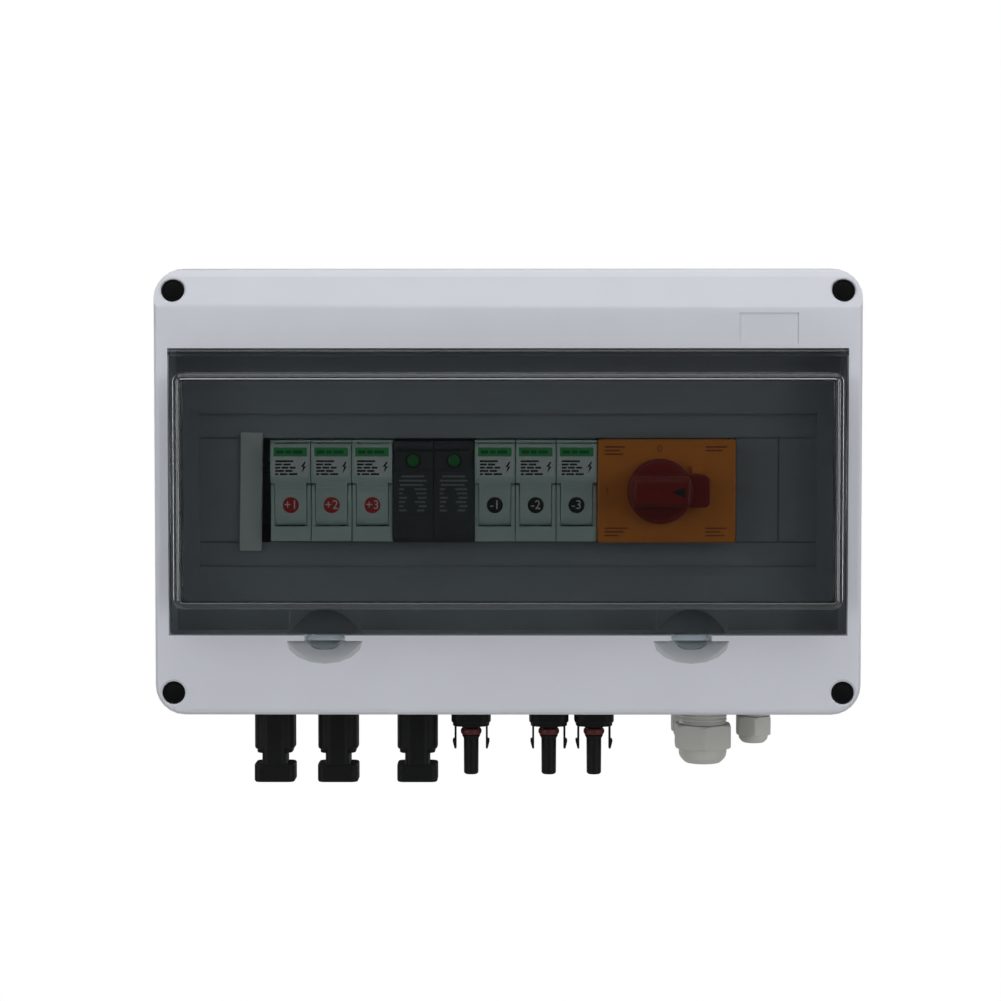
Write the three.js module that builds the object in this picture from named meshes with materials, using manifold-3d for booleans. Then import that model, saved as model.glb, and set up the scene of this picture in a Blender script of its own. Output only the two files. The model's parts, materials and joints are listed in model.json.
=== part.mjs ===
// DC combiner box for a small solar array: a wall-hung plastic enclosure for fifteen modules with a
// smoked door that lifts up. On its rail stand six fuse holders, a two-pole surge arrester and a rotary
// isolator, and the panel connectors and the cable glands leave through its bottom wall.
//
// Millimetres. The wall is the plane Y = 0, the front looks along -Y and +Z is up. The origin is the
// middle of the flat back. "Depth" means the distance from the wall, so a depth of 100 is Y = -100.

import * as THREE from 'three';
import { mergeVertices } from 'three/addons/utils/BufferGeometryUtils.js';
import Module from 'manifold-3d';

const wasm = await Module();
wasm.setup();

// ---------------------------------------------------------------- driving dimensions

const GAP = 0.3;                     // air between pieces that touch
const ROUND = 16;                    // sides of a turned piece
const MODULE = 18;                   // pitch of one rail module

const BASE = { width: 306, height: 192, depth: 58, corner: 11, wall: 2.6, back: 3 };
const COVER = { width: 310, height: 196, rear: 52, front: 100, corner: 13, wall: 2.4, edge: 2.6 };
const COVER_SHRINK = 0.0113;         // share by which the cover narrows from its rear edge to its front
const SLOPE = { lowZ: 79.3, lowDepth: 100, highZ: 93.3, highDepth: 94 };
const LEDGE = { back: 60.3, front: 62.8, inset: 4.7 };
const WINDOW = { halfWidth: 147.1, halfHeight: 62.2 };
const PANEL = { back: 69.8, front: 74.5, recess: 72 };
const RECESS = { halfWidth: 137.5, halfHeight: 34, bevelZ: -37.9 };
const SLOT = { left: -119, right: 101.6, halfHeight: 23.2 };
const SCREW_X = 145.2;
const SCREW_Z = 87.2;
const BOSS = { radius: 7, hole: 5, floor: 63.8, screwHole: 2.4 };

const HINGE = { z: 60, depth: 98.6, barrel: 1.9, pin: 0.9, pinHole: 1.2 };
const DOOR = { halfWidth: 146.6, bottom: -61.8, back: 97.4, front: 99.7 };
const PILLOW = { halfWidth: 143, top: 51.2, bottom: -49.8, front: 115, edge: 3, wall: 2.3, corner: 4 };
const TAB = { x: 79.5, topHalf: 8.5, bottomHalf: 4.75, bottom: -68.5 };
const SCOOP = { halfWidth: 16.5, top: -64.6, height: 9.9, depth: 9.5, wall: 2.2 };

const RAIL = { halfLength: 140, back: 14.8, front: 22.3, halfHeight: 17.5, channel: 13, sheet: 1 };
const BODY = { halfHeight: 41, shoulder: 64, back: 17.5, seat: 22.6, nose: 22.3 };

const FUSE_X = [-95.8, -77.8, -59.8, -5.8, 12.2, 30.2];
const PIVOT = { depth: 77.2, z: -11, end: 4.3, pin: 1.7 };
const LINK = { radius: 5, bottom: -19.8, top: 18.2, depth: 69.2 };
const SURGE_X = -32.8;
const ISOLATOR_X = 69.8;
const KNOB = { x: 66.6, radius: 14.3, back: 83.9, disc: 90, front: 104, bar: 12.8 };

const WALL_Z = -BASE.height / 2;     // underside of the base, where connectors and glands sit
const CONNECTOR_DEPTH = 30;
const SOCKET_X = [-108.7, -79.2, -42.2];
const PLUG_X = [-17.2, 19.1, 40.2];
const GLANDS = [
  { x: 90.3, depth: 38, shank: 10, collar: 11.1, flats: 24.9, nutTop: 13.2, nutEnd: 24.3, end: 31.2, bore: 6.5 },
  { x: 85.6, depth: 12.5, shank: 6, collar: 7.3, flats: 15.4, nutTop: 11.3, nutEnd: 19, end: 23.9, bore: 3.4 },
  { x: 115.3, depth: 25, shank: 6, collar: 7.3, flats: 15.4, nutTop: 11.3, nutEnd: 19, end: 23.9, bore: 3.4 },
];

// ---------------------------------------------------------------- finishes

const FINISH = {
  shell: { color: 0xc9cad3, roughness: 0.5, metalness: 0 },
  smoke: { color: 0x3a4244, roughness: 0.1, metalness: 0, transparent: true, opacity: 0.5 },
  seal: { color: 0x2a2c2c, roughness: 0.85, metalness: 0 },
  blank: { color: 0xc4c8c8, roughness: 0.5, metalness: 0 },
  zinc: { color: 0xb8babc, roughness: 0.35, metalness: 1 },
  plug: { color: 0x15191a, roughness: 0.6, metalness: 0 },
  device: { color: 0xbcd2cd, roughness: 0.5, metalness: 0 },
  ceramic: { color: 0xe8e4da, roughness: 0.4, metalness: 0 },
  surge: { color: 0x2c3030, roughness: 0.5, metalness: 0 },
  orange: { color: 0xf08a1c, roughness: 0.45, metalness: 0 },
  red: { color: 0xb51f1c, roughness: 0.4, metalness: 0 },
  black: { color: 0x161818, roughness: 0.5, metalness: 0 },
  redSeal: { color: 0x6e1c1c, roughness: 0.6, metalness: 0 },
  gland: { color: 0xa9aaa2, roughness: 0.55, metalness: 0 },
  copper: { color: 0xb87348, roughness: 0.35, metalness: 1 },
  brass: { color: 0xc7a252, roughness: 0.35, metalness: 1 },
  redWire: { color: 0x8e1f1c, roughness: 0.5, metalness: 0 },
  blackWire: { color: 0x1a1b1c, roughness: 0.5, metalness: 0 },
};

// ---------------------------------------------------------------- solids

// A closed solid from a closed geometry: shared corners are merged, triangles that have collapsed are
// dropped, and the faces are turned outwards.
function solid(geometry) {
  const bare = geometry.clone();
  bare.deleteAttribute('normal');
  bare.deleteAttribute('uv');
  const merged = mergeVertices(bare, 1e-4);
  const points = merged.attributes.position;
  const index = merged.index.array;
  const a = new THREE.Vector3();
  const b = new THREE.Vector3();
  const c = new THREE.Vector3();
  const triangles = [];
  let volume = 0;
  for (let i = 0; i < index.length; i += 3) {
    const [p, q, r] = index.slice(i, i + 3);
    if (p !== q && q !== r && r !== p) {
      triangles.push(p, q, r);
      a.fromBufferAttribute(points, p);
      b.fromBufferAttribute(points, q);
      c.fromBufferAttribute(points, r);
      volume += a.dot(b.cross(c));
    }
  }
  if (volume < 0) triangles.reverse();
  return new wasm.Manifold(new wasm.Mesh({
    numProp: 3,
    vertProperties: new Float32Array(points.array),
    triVerts: new Uint32Array(triangles),
  }));
}

function geometryOf(shape) {
  const mesh = shape.getMesh();
  const geometry = new THREE.BufferGeometry();
  geometry.setAttribute('position', new THREE.BufferAttribute(mesh.vertProperties, 3));
  geometry.setIndex(new THREE.BufferAttribute(mesh.triVerts, 1));
  geometry.computeVertexNormals();
  return geometry;
}

function joined(shapes) {
  return shapes.reduce((whole, shape) => whole.add(shape));
}

function cut(shape, tools) {
  return tools.reduce((left, tool) => left.subtract(tool), shape);
}

function axes(x, y, z) {
  return new THREE.Matrix4().makeBasis(
    new THREE.Vector3(...x), new THREE.Vector3(...y), new THREE.Vector3(...z));
}

const TO_FRONT = axes([1, 0, 0], [0, 0, 1], [0, -1, 0]);      // outline in X and Z, thickness in depth
const TO_SIDE = axes([0, -1, 0], [0, 0, 1], [-1, 0, 0]);      // outline in depth and Z, thickness in X
const TO_DOWN = axes([1, 0, 0], [0, -1, 0], [0, 0, -1]);      // outline in X and depth, thickness down

function extruded(outline, thickness, curveSegments, bevel) {
  const options = { depth: thickness, bevelEnabled: false, curveSegments, ...bevel };
  return new THREE.ExtrudeGeometry(outline, options);
}

// Slab with its outline in X and Z, from one depth to another.
function slab(outline, back, front, curveSegments = 3) {
  const geometry = extruded(outline, front - back, curveSegments);
  geometry.applyMatrix4(TO_FRONT).translate(0, -back, 0);
  return solid(geometry);
}

// Slab whose front edge is rounded by the given amount.
function softSlab(outline, back, front, edge, steps) {
  const bevel = {
    bevelEnabled: true, bevelThickness: edge, bevelSize: edge, bevelOffset: -edge, bevelSegments: steps,
  };
  const geometry = extruded(outline, front - back - edge, 3, bevel);
  geometry.applyMatrix4(TO_FRONT).translate(0, -back, 0);
  return geometry;
}

// Prism with its outline in depth and Z, between two places along X.
function prism(points, left, right) {
  const outline = new THREE.Shape(points.map(([depth, z]) => new THREE.Vector2(depth, z)));
  const geometry = extruded(outline, right - left, 3);
  geometry.applyMatrix4(TO_SIDE).translate(right, 0, 0);
  return solid(geometry);
}

// Column with its outline in X and depth, between two distances below the base.
function column(outline, from, to, curveSegments = 3) {
  const geometry = extruded(outline, to - from, curveSegments);
  geometry.applyMatrix4(TO_DOWN).translate(0, 0, -from);
  return solid(geometry);
}

function block(left, right, back, front, bottom, top) {
  const geometry = new THREE.BoxGeometry(right - left, front - back, top - bottom);
  geometry.translate((left + right) / 2, -(back + front) / 2, (bottom + top) / 2);
  return solid(geometry);
}

// Round bar along depth.
function bar(x, z, back, front, radius, sides = 20) {
  const geometry = new THREE.CylinderGeometry(radius, radius, front - back, sides);
  geometry.translate(x, -(back + front) / 2, z);
  return solid(geometry);
}

// Round bar along X.
function crossBar(left, right, depth, z, radius, sides = 16) {
  const geometry = new THREE.CylinderGeometry(radius, radius, right - left, sides);
  geometry.rotateZ(Math.PI / 2).translate((left + right) / 2, -depth, z);
  return solid(geometry);
}

// Round bar along Z.
function upright(x, depth, bottom, top, radius, sides = 16) {
  const geometry = new THREE.CylinderGeometry(radius, radius, top - bottom, sides);
  geometry.rotateX(Math.PI / 2).translate(x, -depth, (bottom + top) / 2);
  return solid(geometry);
}

// Turned piece on the Z axis: each point is a radius and a distance downwards.
function turnedDown(points, sides = 20) {
  const profile = points.map(([radius, down]) => new THREE.Vector2(radius, down));
  const geometry = new THREE.LatheGeometry(profile, sides);
  geometry.rotateX(-Math.PI / 2);
  return solid(geometry);
}

// Turned piece on a depth axis: each point is a radius and a depth.
function turnedFront(points, sides = 20) {
  const profile = points.map(([radius, depth]) => new THREE.Vector2(radius, depth));
  const geometry = new THREE.LatheGeometry(profile, sides);
  geometry.rotateX(Math.PI);
  return solid(geometry);
}

function roundedRectangle(halfWidth, bottom, top, corner, middle = 0) {
  const left = middle - halfWidth;
  const right = middle + halfWidth;
  const outline = new THREE.Shape();
  outline.absarc(right - corner, bottom + corner, corner, -Math.PI / 2, 0);
  outline.absarc(right - corner, top - corner, corner, 0, Math.PI / 2);
  outline.absarc(left + corner, top - corner, corner, Math.PI / 2, Math.PI);
  outline.absarc(left + corner, bottom + corner, corner, Math.PI, 1.5 * Math.PI);
  return outline;
}

function centredRectangle(width, height, corner) {
  return roundedRectangle(width / 2, -height / 2, height / 2, corner);
}

function hexagon(flats, turn) {
  const radius = flats / Math.sqrt(3);
  const points = [];
  for (let i = 0; i < 6; i += 1) {
    const angle = turn + (i * Math.PI) / 3;
    points.push(new THREE.Vector2(radius * Math.cos(angle), radius * Math.sin(angle)));
  }
  return new THREE.Shape(points);
}

const group = new THREE.Group();

// Adds a named piece to a group, at its place in that group.
function place(parent, name, shape, finish, x = 0, depth = 0, z = 0) {
  const mesh = new THREE.Mesh(geometryOf(shape), new THREE.MeshStandardMaterial(FINISH[finish]));
  mesh.name = name;
  mesh.position.set(x, -depth, z);
  parent.add(mesh);
  return mesh;
}

function subgroup(x = 0, depth = 0, z = 0) {
  const child = new THREE.Group();
  child.position.set(x, -depth, z);
  group.add(child);
  return child;
}

const CORNERS = [[-1, 1], [1, 1], [-1, -1], [1, -1]];

// ---------------------------------------------------------------- enclosure

const EARTH_BAR = { left: 46, right: 84, z: -66, halfHeight: 4, back: 20, front: 28, postInset: 5 };

function baseShell() {
  const outer = slab(centredRectangle(BASE.width, BASE.height, BASE.corner), 0, BASE.depth);
  const inner = slab(
    centredRectangle(BASE.width - 2 * BASE.wall, BASE.height - 2 * BASE.wall, BASE.corner - BASE.wall),
    BASE.back, BASE.depth + 1);
  const postRadius = 6;
  const postFront = 56;
  const threadRadius = 2.2;
  const threadBack = 30;
  const kept = [];
  const cuts = [];
  for (const [sideX, sideZ] of CORNERS) {
    const x = sideX * SCREW_X;
    const z = sideZ * SCREW_Z;
    kept.push(bar(x, z, 1, postFront, postRadius, 12));
    cuts.push(bar(x, z, threadBack, postFront + 1, threadRadius, 8));
  }
  const padHalfWidth = 7;
  const padHalfHeight = 20;
  for (const x of [-125, 0, 125]) {
    const front = RAIL.back - GAP;
    kept.push(block(x - padHalfWidth, x + padHalfWidth, 1, front, -padHalfHeight, padHalfHeight));
  }
  const earthPost = 3.2;
  for (const x of [EARTH_BAR.left + EARTH_BAR.postInset, EARTH_BAR.right - EARTH_BAR.postInset]) {
    kept.push(bar(x, EARTH_BAR.z, 1, EARTH_BAR.back - GAP, earthPost, 10));
  }
  const wallHole = { x: 135, z: 70, radius: 2.75 };
  for (const [sideX, sideZ] of CORNERS) {
    cuts.push(bar(sideX * wallHole.x, sideZ * wallHole.z, -1, BASE.back + 1, wallHole.radius, 12));
  }
  const connectorHole = 6.3;
  for (const x of [...SOCKET_X, ...PLUG_X]) {
    cuts.push(upright(x, CONNECTOR_DEPTH, WALL_Z - 1, WALL_Z + BASE.wall + 1, connectorHole, 12));
  }
  for (const gland of GLANDS) {
    const top = WALL_Z + BASE.wall + 1;
    cuts.push(upright(gland.x, gland.depth, WALL_Z - 1, top, gland.shank + GAP, ROUND));
  }
  return cut(outer, [cut(inner, kept), ...cuts]);
}

function coverSeal() {
  const middle = BASE.wall / 2;
  const half = 1;
  const ring = (offset, back, front) => slab(
    centredRectangle(
      BASE.width - 2 * middle + 2 * offset, BASE.height - 2 * middle + 2 * offset,
      BASE.corner - middle + offset),
    back, front);
  const back = BASE.depth + GAP;
  const front = LEDGE.back - GAP;
  return ring(half, back, front).subtract(ring(-half, back - 1, front + 1));
}

// The cover's outer form, or the same form with every wall moved in by the inset. Towards the front
// it narrows with the mould's draft, and its top edge slopes back.
function coverForm(inset) {
  const outline = centredRectangle(
    COVER.width - 2 * inset, COVER.height - 2 * inset, COVER.corner - inset);
  const edge = Math.max(COVER.edge - inset, 0.5);
  const geometry = softSlab(outline, COVER.rear, COVER.front - inset, edge, 3);
  const points = geometry.attributes.position;
  for (let i = 0; i < points.count; i += 1) {
    const run = (-points.getY(i) - COVER.rear) / (COVER.front - COVER.rear);
    const scale = 1 - COVER_SHRINK * Math.max(run, 0);
    points.setX(i, points.getX(i) * scale);
    points.setZ(i, points.getZ(i) * scale);
  }
  const run = Math.hypot(SLOPE.highZ - SLOPE.lowZ, SLOPE.lowDepth - SLOPE.highDepth);
  const moveDepth = (inset * (SLOPE.highZ - SLOPE.lowZ)) / run;
  const moveZ = (inset * (SLOPE.lowDepth - SLOPE.highDepth)) / run;
  const away = 20;
  const top = [
    [SLOPE.lowDepth + 3, SLOPE.lowZ - 7],
    [SLOPE.highDepth, SLOPE.highZ],
    [92.6, 95.4],
    [90.8, 96.7],
    [88, 97.3],
    [88, 97.3 + away],
    [COVER.front + away, 97.3 + away],
    [COVER.front + away, SLOPE.lowZ - 7],
  ];
  const above = prism(top.map(([depth, z]) => [depth - moveDepth, z - moveZ]), -200, 200);
  const behind = block(-200, 200, 0, COVER.rear, -200, 200);
  return cut(solid(geometry), [above, behind]);
}

function ellipsoid(x, depth, z, halfWidth, halfDepth, halfHeight) {
  const geometry = new THREE.SphereGeometry(1, 16, 10);
  geometry.scale(halfWidth, halfDepth, halfHeight).translate(x, -depth, z);
  return solid(geometry);
}

// Half bowl under a door tab, flat along its top, or the same bowl grown by the thickness of its wall.
function scoopBowl(x, extra) {
  const bowl = ellipsoid(
    x, COVER.front, SCOOP.top, SCOOP.halfWidth + extra, SCOOP.depth + extra, SCOOP.height + extra);
  return bowl.intersect(block(x - 30, x + 30, 60, COVER.front + 30, -90, SCOOP.top + extra));
}

function frontCover() {
  const clearance = 0.3;
  const skirtHollow = slab(
    centredRectangle(
      BASE.width + 2 * clearance, BASE.height + 2 * clearance, BASE.corner + clearance),
    COVER.rear - 1, LEDGE.back);
  const ledgeHollow = slab(
    centredRectangle(
      COVER.width - 2 * LEDGE.inset, COVER.height - 2 * LEDGE.inset, COVER.corner - LEDGE.inset),
    LEDGE.back - 1, LEDGE.front + 1);
  const wellWall = WINDOW.halfHeight + COVER.wall;
  const aboveLedge = block(-200, 200, LEDGE.front, 200, -200, 200);
  const wellBlock = block(-200, 200, PANEL.back, 200, -wellWall, wellWall);
  const frontHollow = cut(coverForm(COVER.wall).intersect(aboveLedge), [wellBlock]);
  const kept = CORNERS.map(([sideX, sideZ]) => bar(
    sideX * SCREW_X, sideZ * SCREW_Z, LEDGE.back, COVER.front + 1, BOSS.radius, 16));
  for (const side of [-1, 1]) kept.push(scoopBowl(side * TAB.x, SCOOP.wall));

  const cuts = [skirtHollow, cut(ledgeHollow, kept), cut(frontHollow, kept)];
  for (const [sideX, sideZ] of CORNERS) {
    const x = sideX * SCREW_X;
    const z = sideZ * SCREW_Z;
    cuts.push(bar(x, z, BOSS.floor, COVER.front + 1, BOSS.hole, 20));
    cuts.push(bar(x, z, LEDGE.back - 1, COVER.front + 1, BOSS.screwHole, 8));
  }
  cuts.push(block(
    -WINDOW.halfWidth, WINDOW.halfWidth, PANEL.front, COVER.front + 1,
    -WINDOW.halfHeight, WINDOW.halfHeight));
  const overFace = PANEL.front + 1;
  const recess = [
    [PANEL.recess, -RECESS.halfHeight],
    [overFace, RECESS.bevelZ - 1.6],
    [overFace, RECESS.halfHeight],
    [PANEL.recess, RECESS.halfHeight],
  ];
  cuts.push(prism(recess, -RECESS.halfWidth, RECESS.halfWidth));
  cuts.push(block(
    SLOT.left, SLOT.right, PANEL.back - 1, overFace, -SLOT.halfHeight, SLOT.halfHeight));
  const groove = { half: 0.35, depth: 0.6 };
  const grooveBack = PANEL.recess - groove.depth;
  for (const z of [-SLOT.halfHeight, SLOT.halfHeight]) {
    const low = z - groove.half;
    const high = z + groove.half;
    cuts.push(block(-RECESS.halfWidth + 1, SLOT.left + 0.1, grooveBack, overFace, low, high));
    cuts.push(block(SLOT.right - 0.1, RECESS.halfWidth - 1, grooveBack, overFace, low, high));
  }
  const blankEdge = 120.3;
  cuts.push(block(
    blankEdge - groove.half, blankEdge + groove.half, grooveBack, overFace,
    -SLOT.halfHeight, SLOT.halfHeight));
  for (const side of [-1, 1]) {
    const inner = side * (WINDOW.halfWidth - 1);
    const outer = side * (WINDOW.halfWidth + 2.6);
    cuts.push(crossBar(
      Math.min(inner, outer), Math.max(inner, outer), HINGE.depth, HINGE.z, HINGE.pinHole, 10));
    cuts.push(scoopBowl(side * TAB.x, 0));
    const notch = TAB.topHalf + 0.4;
    cuts.push(block(
      side * TAB.x - notch, side * TAB.x + notch, DOOR.back - 0.6, COVER.front + 1,
      SCOOP.top - 0.1, -WINDOW.halfHeight + 0.1));
  }
  const label = { left: 99.8, right: 125.3, bottom: 64, top: 77.4, depth: 0.4 };
  cuts.push(block(
    label.left, label.right, COVER.front - label.depth, COVER.front + 1, label.bottom, label.top));
  return cut(coverForm(0), cuts);
}

function coverScrew() {
  const head = { back: BOSS.floor + GAP, front: 67, radius: 4.2 };
  const shank = { back: 34, radius: 1.9 };
  const profile = [
    [0, shank.back], [1.2, shank.back], [shank.radius, shank.back + 1.6], [shank.radius, head.back],
    [head.radius, head.back], [head.radius, head.front - 0.9], [head.radius - 1.4, head.front],
    [0, head.front],
  ];
  return turnedFront(profile, 10);
}

// Push-in plug with a domed end, which closes the screw's hole.
function screwPlug(front) {
  const radius = BOSS.hole - GAP;
  const profile = [
    [0, front - 7], [radius - 0.6, front - 7], [radius, front - 6], [radius, front - 1],
    [radius - 1.2, front - 0.2], [0, front],
  ];
  return turnedFront(profile, 20);
}

function buildEnclosure() {
  place(group, 'base_shell', baseShell(), 'shell');
  place(group, 'cover_seal', coverSeal(), 'seal');
  place(group, 'front_cover', frontCover(), 'shell');
  const slopeRun = (SCREW_Z - SLOPE.lowZ) / (SLOPE.highZ - SLOPE.lowZ);
  const upperFront = SLOPE.lowDepth - slopeRun * (SLOPE.lowDepth - SLOPE.highDepth) + 0.5;
  CORNERS.forEach(([sideX, sideZ], i) => {
    const front = sideZ > 0 ? upperFront : COVER.front - 0.2;
    place(group, `cover_screw_${i + 1}`, coverScrew(), 'zinc', sideX * SCREW_X, 0, sideZ * SCREW_Z);
    place(group, `screw_plug_${i + 1}`, screwPlug(front), 'plug', sideX * SCREW_X, 0, sideZ * SCREW_Z);
  });
}

// ---------------------------------------------------------------- door

function door() {
  const plate = block(
    -DOOR.halfWidth, DOOR.halfWidth, DOOR.back, DOOR.front, DOOR.bottom, HINGE.z);
  const barrel = crossBar(-DOOR.halfWidth, DOOR.halfWidth, HINGE.depth, HINGE.z, HINGE.barrel, 14);
  const pinReach = DOOR.halfWidth + 2.6;
  const pins = crossBar(-pinReach, pinReach, HINGE.depth, HINGE.z, HINGE.pin, 10);
  const pillowForm = (inset) => {
    const outline = roundedRectangle(
      PILLOW.halfWidth - inset, PILLOW.bottom + inset, PILLOW.top - inset, PILLOW.corner - inset);
    const edge = inset > 0 ? PILLOW.edge - inset : PILLOW.edge;
    return solid(softSlab(outline, DOOR.back, PILLOW.front - inset, edge, 3));
  };
  const behind = block(-200, 200, 0, DOOR.back, -200, 200);
  const tabs = [-1, 1].map((side) => {
    const x = side * TAB.x;
    const outline = new THREE.Shape([
      new THREE.Vector2(x - TAB.topHalf, DOOR.bottom + 1),
      new THREE.Vector2(x - TAB.topHalf, DOOR.bottom - 2.4),
      new THREE.Vector2(x - TAB.bottomHalf, TAB.bottom),
      new THREE.Vector2(x + TAB.bottomHalf, TAB.bottom),
      new THREE.Vector2(x + TAB.topHalf, DOOR.bottom - 2.4),
      new THREE.Vector2(x + TAB.topHalf, DOOR.bottom + 1),
    ]);
    return slab(outline, DOOR.back, DOOR.front);
  });
  const body = joined([plate, barrel, pins, pillowForm(0), ...tabs]);
  return cut(body, [pillowForm(PILLOW.wall), behind]);
}

// ---------------------------------------------------------------- rail and what stands on it

function rail() {
  const low = RAIL.channel - RAIL.sheet;
  const flange = RAIL.front - RAIL.sheet;
  const half = [
    [RAIL.back, RAIL.channel], [flange, RAIL.channel], [flange, RAIL.halfHeight],
    [RAIL.front, RAIL.halfHeight], [RAIL.front, low], [RAIL.back + RAIL.sheet, low],
  ];
  const mirrored = half.map(([depth, z]) => [depth, -z]).reverse();
  return prism([...half, ...mirrored], -RAIL.halfLength, RAIL.halfLength);
}

// Side outline of a rail device: a hook round each flange of the rail, square shoulders and a nose.
function deviceOutline(shoulder, nose, noseFront) {
  const hook = { back: BODY.back, front: 21, inner: 15.3, outer: 17.8 };
  const half = [
    [BODY.seat, hook.outer], [hook.front, hook.outer], [hook.front, hook.inner],
    [hook.back, hook.inner], [hook.back, shoulder], [BODY.shoulder, shoulder],
    [BODY.shoulder, nose], [noseFront, nose],
  ];
  const mirrored = half.map(([depth, z]) => [depth, -z]).reverse();
  return [...half, ...mirrored];
}

const TERMINAL = { depth: 45, half: 3, reach: 12, screwZ: 32, screwRadius: 2.6, screwBack: 50 };

// Wire entry from above and below, and the hole over each terminal screw.
function terminalHoles(x, shoulder) {
  const holes = [];
  for (const side of [-1, 1]) {
    const inner = side * (shoulder - TERMINAL.reach);
    const outer = side * (shoulder + 1);
    holes.push(block(
      x - TERMINAL.half, x + TERMINAL.half, TERMINAL.depth - TERMINAL.half, TERMINAL.depth + TERMINAL.half,
      Math.min(inner, outer), Math.max(inner, outer)));
    const z = side * TERMINAL.screwZ;
    holes.push(bar(x, z, TERMINAL.screwBack, BODY.shoulder + 1, TERMINAL.screwRadius, 8));
  }
  return holes;
}

const FUSE = {
  half: 8.8,             // half width of the holder
  pocket: 7.2,           // half width of the pocket between its cheeks
  ceiling: 21.3,
  floor: -20.5,
  pocketBack: 60,
  cheekFront: 81.2,
  cheekTop: 2.6,
  upperFront: 78,
  chinFront: 81.8,
  chinTop: -15.8,
  chinBack: 74.6,
};

function fuseBase() {
  const body = prism(
    deviceOutline(BODY.halfHeight, BODY.nose, FUSE.chinFront), -FUSE.half, FUSE.half);
  const pocket = block(
    -FUSE.pocket, FUSE.pocket, FUSE.pocketBack, FUSE.chinBack, FUSE.floor, FUSE.ceiling);
  const mouth = block(
    -FUSE.pocket, FUSE.pocket, FUSE.chinBack - 1, 90, FUSE.chinTop, FUSE.ceiling);
  const wide = FUSE.half + 1;
  const faceRoom = block(-wide, wide, FUSE.upperFront, 90, FUSE.cheekTop, FUSE.ceiling);
  const cheekTrim = block(-wide, wide, FUSE.cheekFront, 90, FUSE.chinTop, FUSE.cheekTop + 1);
  const pivotHole = crossBar(-wide, wide, PIVOT.depth, PIVOT.z, PIVOT.pin + GAP, 8);
  return cut(body, [pocket, mouth, faceRoom, cheekTrim, pivotHole, ...terminalHoles(0, BODY.halfHeight)]);
}

// The carrier turns on a pin near its lower end. Its upper half is a full-width face with a sloping
// grip below it, and the tray behind holds the fuse link.
function fuseCarrier() {
  const trayHalf = 6.9;
  const face = { front: 83.4, handle: 81.5, top: 20.8, gripTop: 5.4, gripBottom: 0, back: 78.3, low: 3.5 };
  const tray = new THREE.Shape();
  tray.moveTo(face.back, face.top);
  tray.lineTo(face.front, face.top);
  tray.lineTo(face.front, face.gripTop);
  tray.lineTo(face.handle, face.gripBottom);
  tray.lineTo(face.handle, PIVOT.z);
  tray.absarc(PIVOT.depth, PIVOT.z, PIVOT.end, 0, -Math.PI, true);
  tray.lineTo(64.6, -8);
  tray.lineTo(64.6, 18);
  tray.lineTo(72, 20.1);
  const geometry = extruded(tray, 2 * trayHalf, 4);
  geometry.applyMatrix4(TO_SIDE).translate(trayHalf, 0, 0);
  const plate = prism(
    [
      [face.back, face.top], [face.front, face.top], [face.front, face.gripTop],
      [face.front - 0.7, face.low], [face.back, face.low],
    ],
    -FUSE.half, FUSE.half);
  const pinReach = FUSE.half - 0.5;
  const pins = crossBar(-pinReach, pinReach, PIVOT.depth, PIVOT.z, PIVOT.pin, 8);
  const bore = upright(0, LINK.depth, LINK.bottom - 3, LINK.top + GAP, LINK.radius + GAP + 0.2, 12);
  return joined([solid(geometry), plate, pins]).subtract(bore);
}

function fuseLink() {
  const cap = { radius: LINK.radius, length: 9.5 };
  const tube = LINK.radius - 0.4;
  const length = LINK.top - LINK.bottom;
  const profile = [
    [0, 0], [cap.radius, 0], [cap.radius, cap.length], [tube, cap.length],
    [tube, length - cap.length], [cap.radius, length - cap.length], [cap.radius, length], [0, length],
  ];
  return turnedDown(profile, 12);
}

const SURGE = { half: 17.7, pocket: 17.5, top: 21.9, bottom: -22.6, back: 44, front: 83 };
const BLADE = { z: 14, halfHeight: 3, half: 0.6, reach: 7.5 };

function surgeBase() {
  const outline = deviceOutline(BODY.halfHeight, BODY.nose, BODY.shoulder + 1);
  const pocket = block(
    -SURGE.pocket + 1.4, SURGE.pocket - 1.4, SURGE.back - GAP, 90,
    SURGE.bottom - GAP, SURGE.top + GAP);
  const trim = block(-30, 30, BODY.shoulder, 90, -30, 30);
  const cuts = [pocket, trim];
  for (const side of [-1, 1]) {
    const x = (side * MODULE) / 2;
    cuts.push(...terminalHoles(x, BODY.halfHeight));
    for (const z of [-BLADE.z, BLADE.z]) {
      cuts.push(block(
        x - BLADE.half - GAP, x + BLADE.half + GAP, SURGE.back - BLADE.reach - 1, SURGE.back,
        z - BLADE.halfHeight - GAP, z + BLADE.halfHeight + GAP));
    }
  }
  return cut(prism(outline, -SURGE.half, SURGE.half), cuts);
}

// Plug-in cartridge: narrow where it sits in the base, full width in front of it.
function surgeCartridge(side) {
  const profile = [
    [SURGE.back, SURGE.bottom], [81.4, SURGE.bottom], [SURGE.front, SURGE.bottom + 2],
    [SURGE.front, 8.4], [81.6, 9.4], [81.6, 17.4], [SURGE.front, 18.4], [SURGE.front, 20.2],
    [81.8, SURGE.top], [SURGE.back, SURGE.top],
  ];
  const inner = 0.15 - MODULE / 2;
  const outer = SURGE.half - MODULE / 2;
  const whole = side > 0 ? prism(profile, inner, outer) : prism(profile, -outer, -inner);
  const wallX = outer - 1.8;
  const seat = side > 0
    ? block(wallX, outer + 1, 40, BODY.shoulder + GAP, -30, 30)
    : block(-outer - 1, -wallX, 40, BODY.shoulder + GAP, -30, 30);
  const blades = [-BLADE.z, BLADE.z].map((z) => block(
    -BLADE.half, BLADE.half, SURGE.back - BLADE.reach, SURGE.back + 1,
    z - BLADE.halfHeight, z + BLADE.halfHeight));
  return joined([whole.subtract(seat), ...blades]);
}

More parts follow.
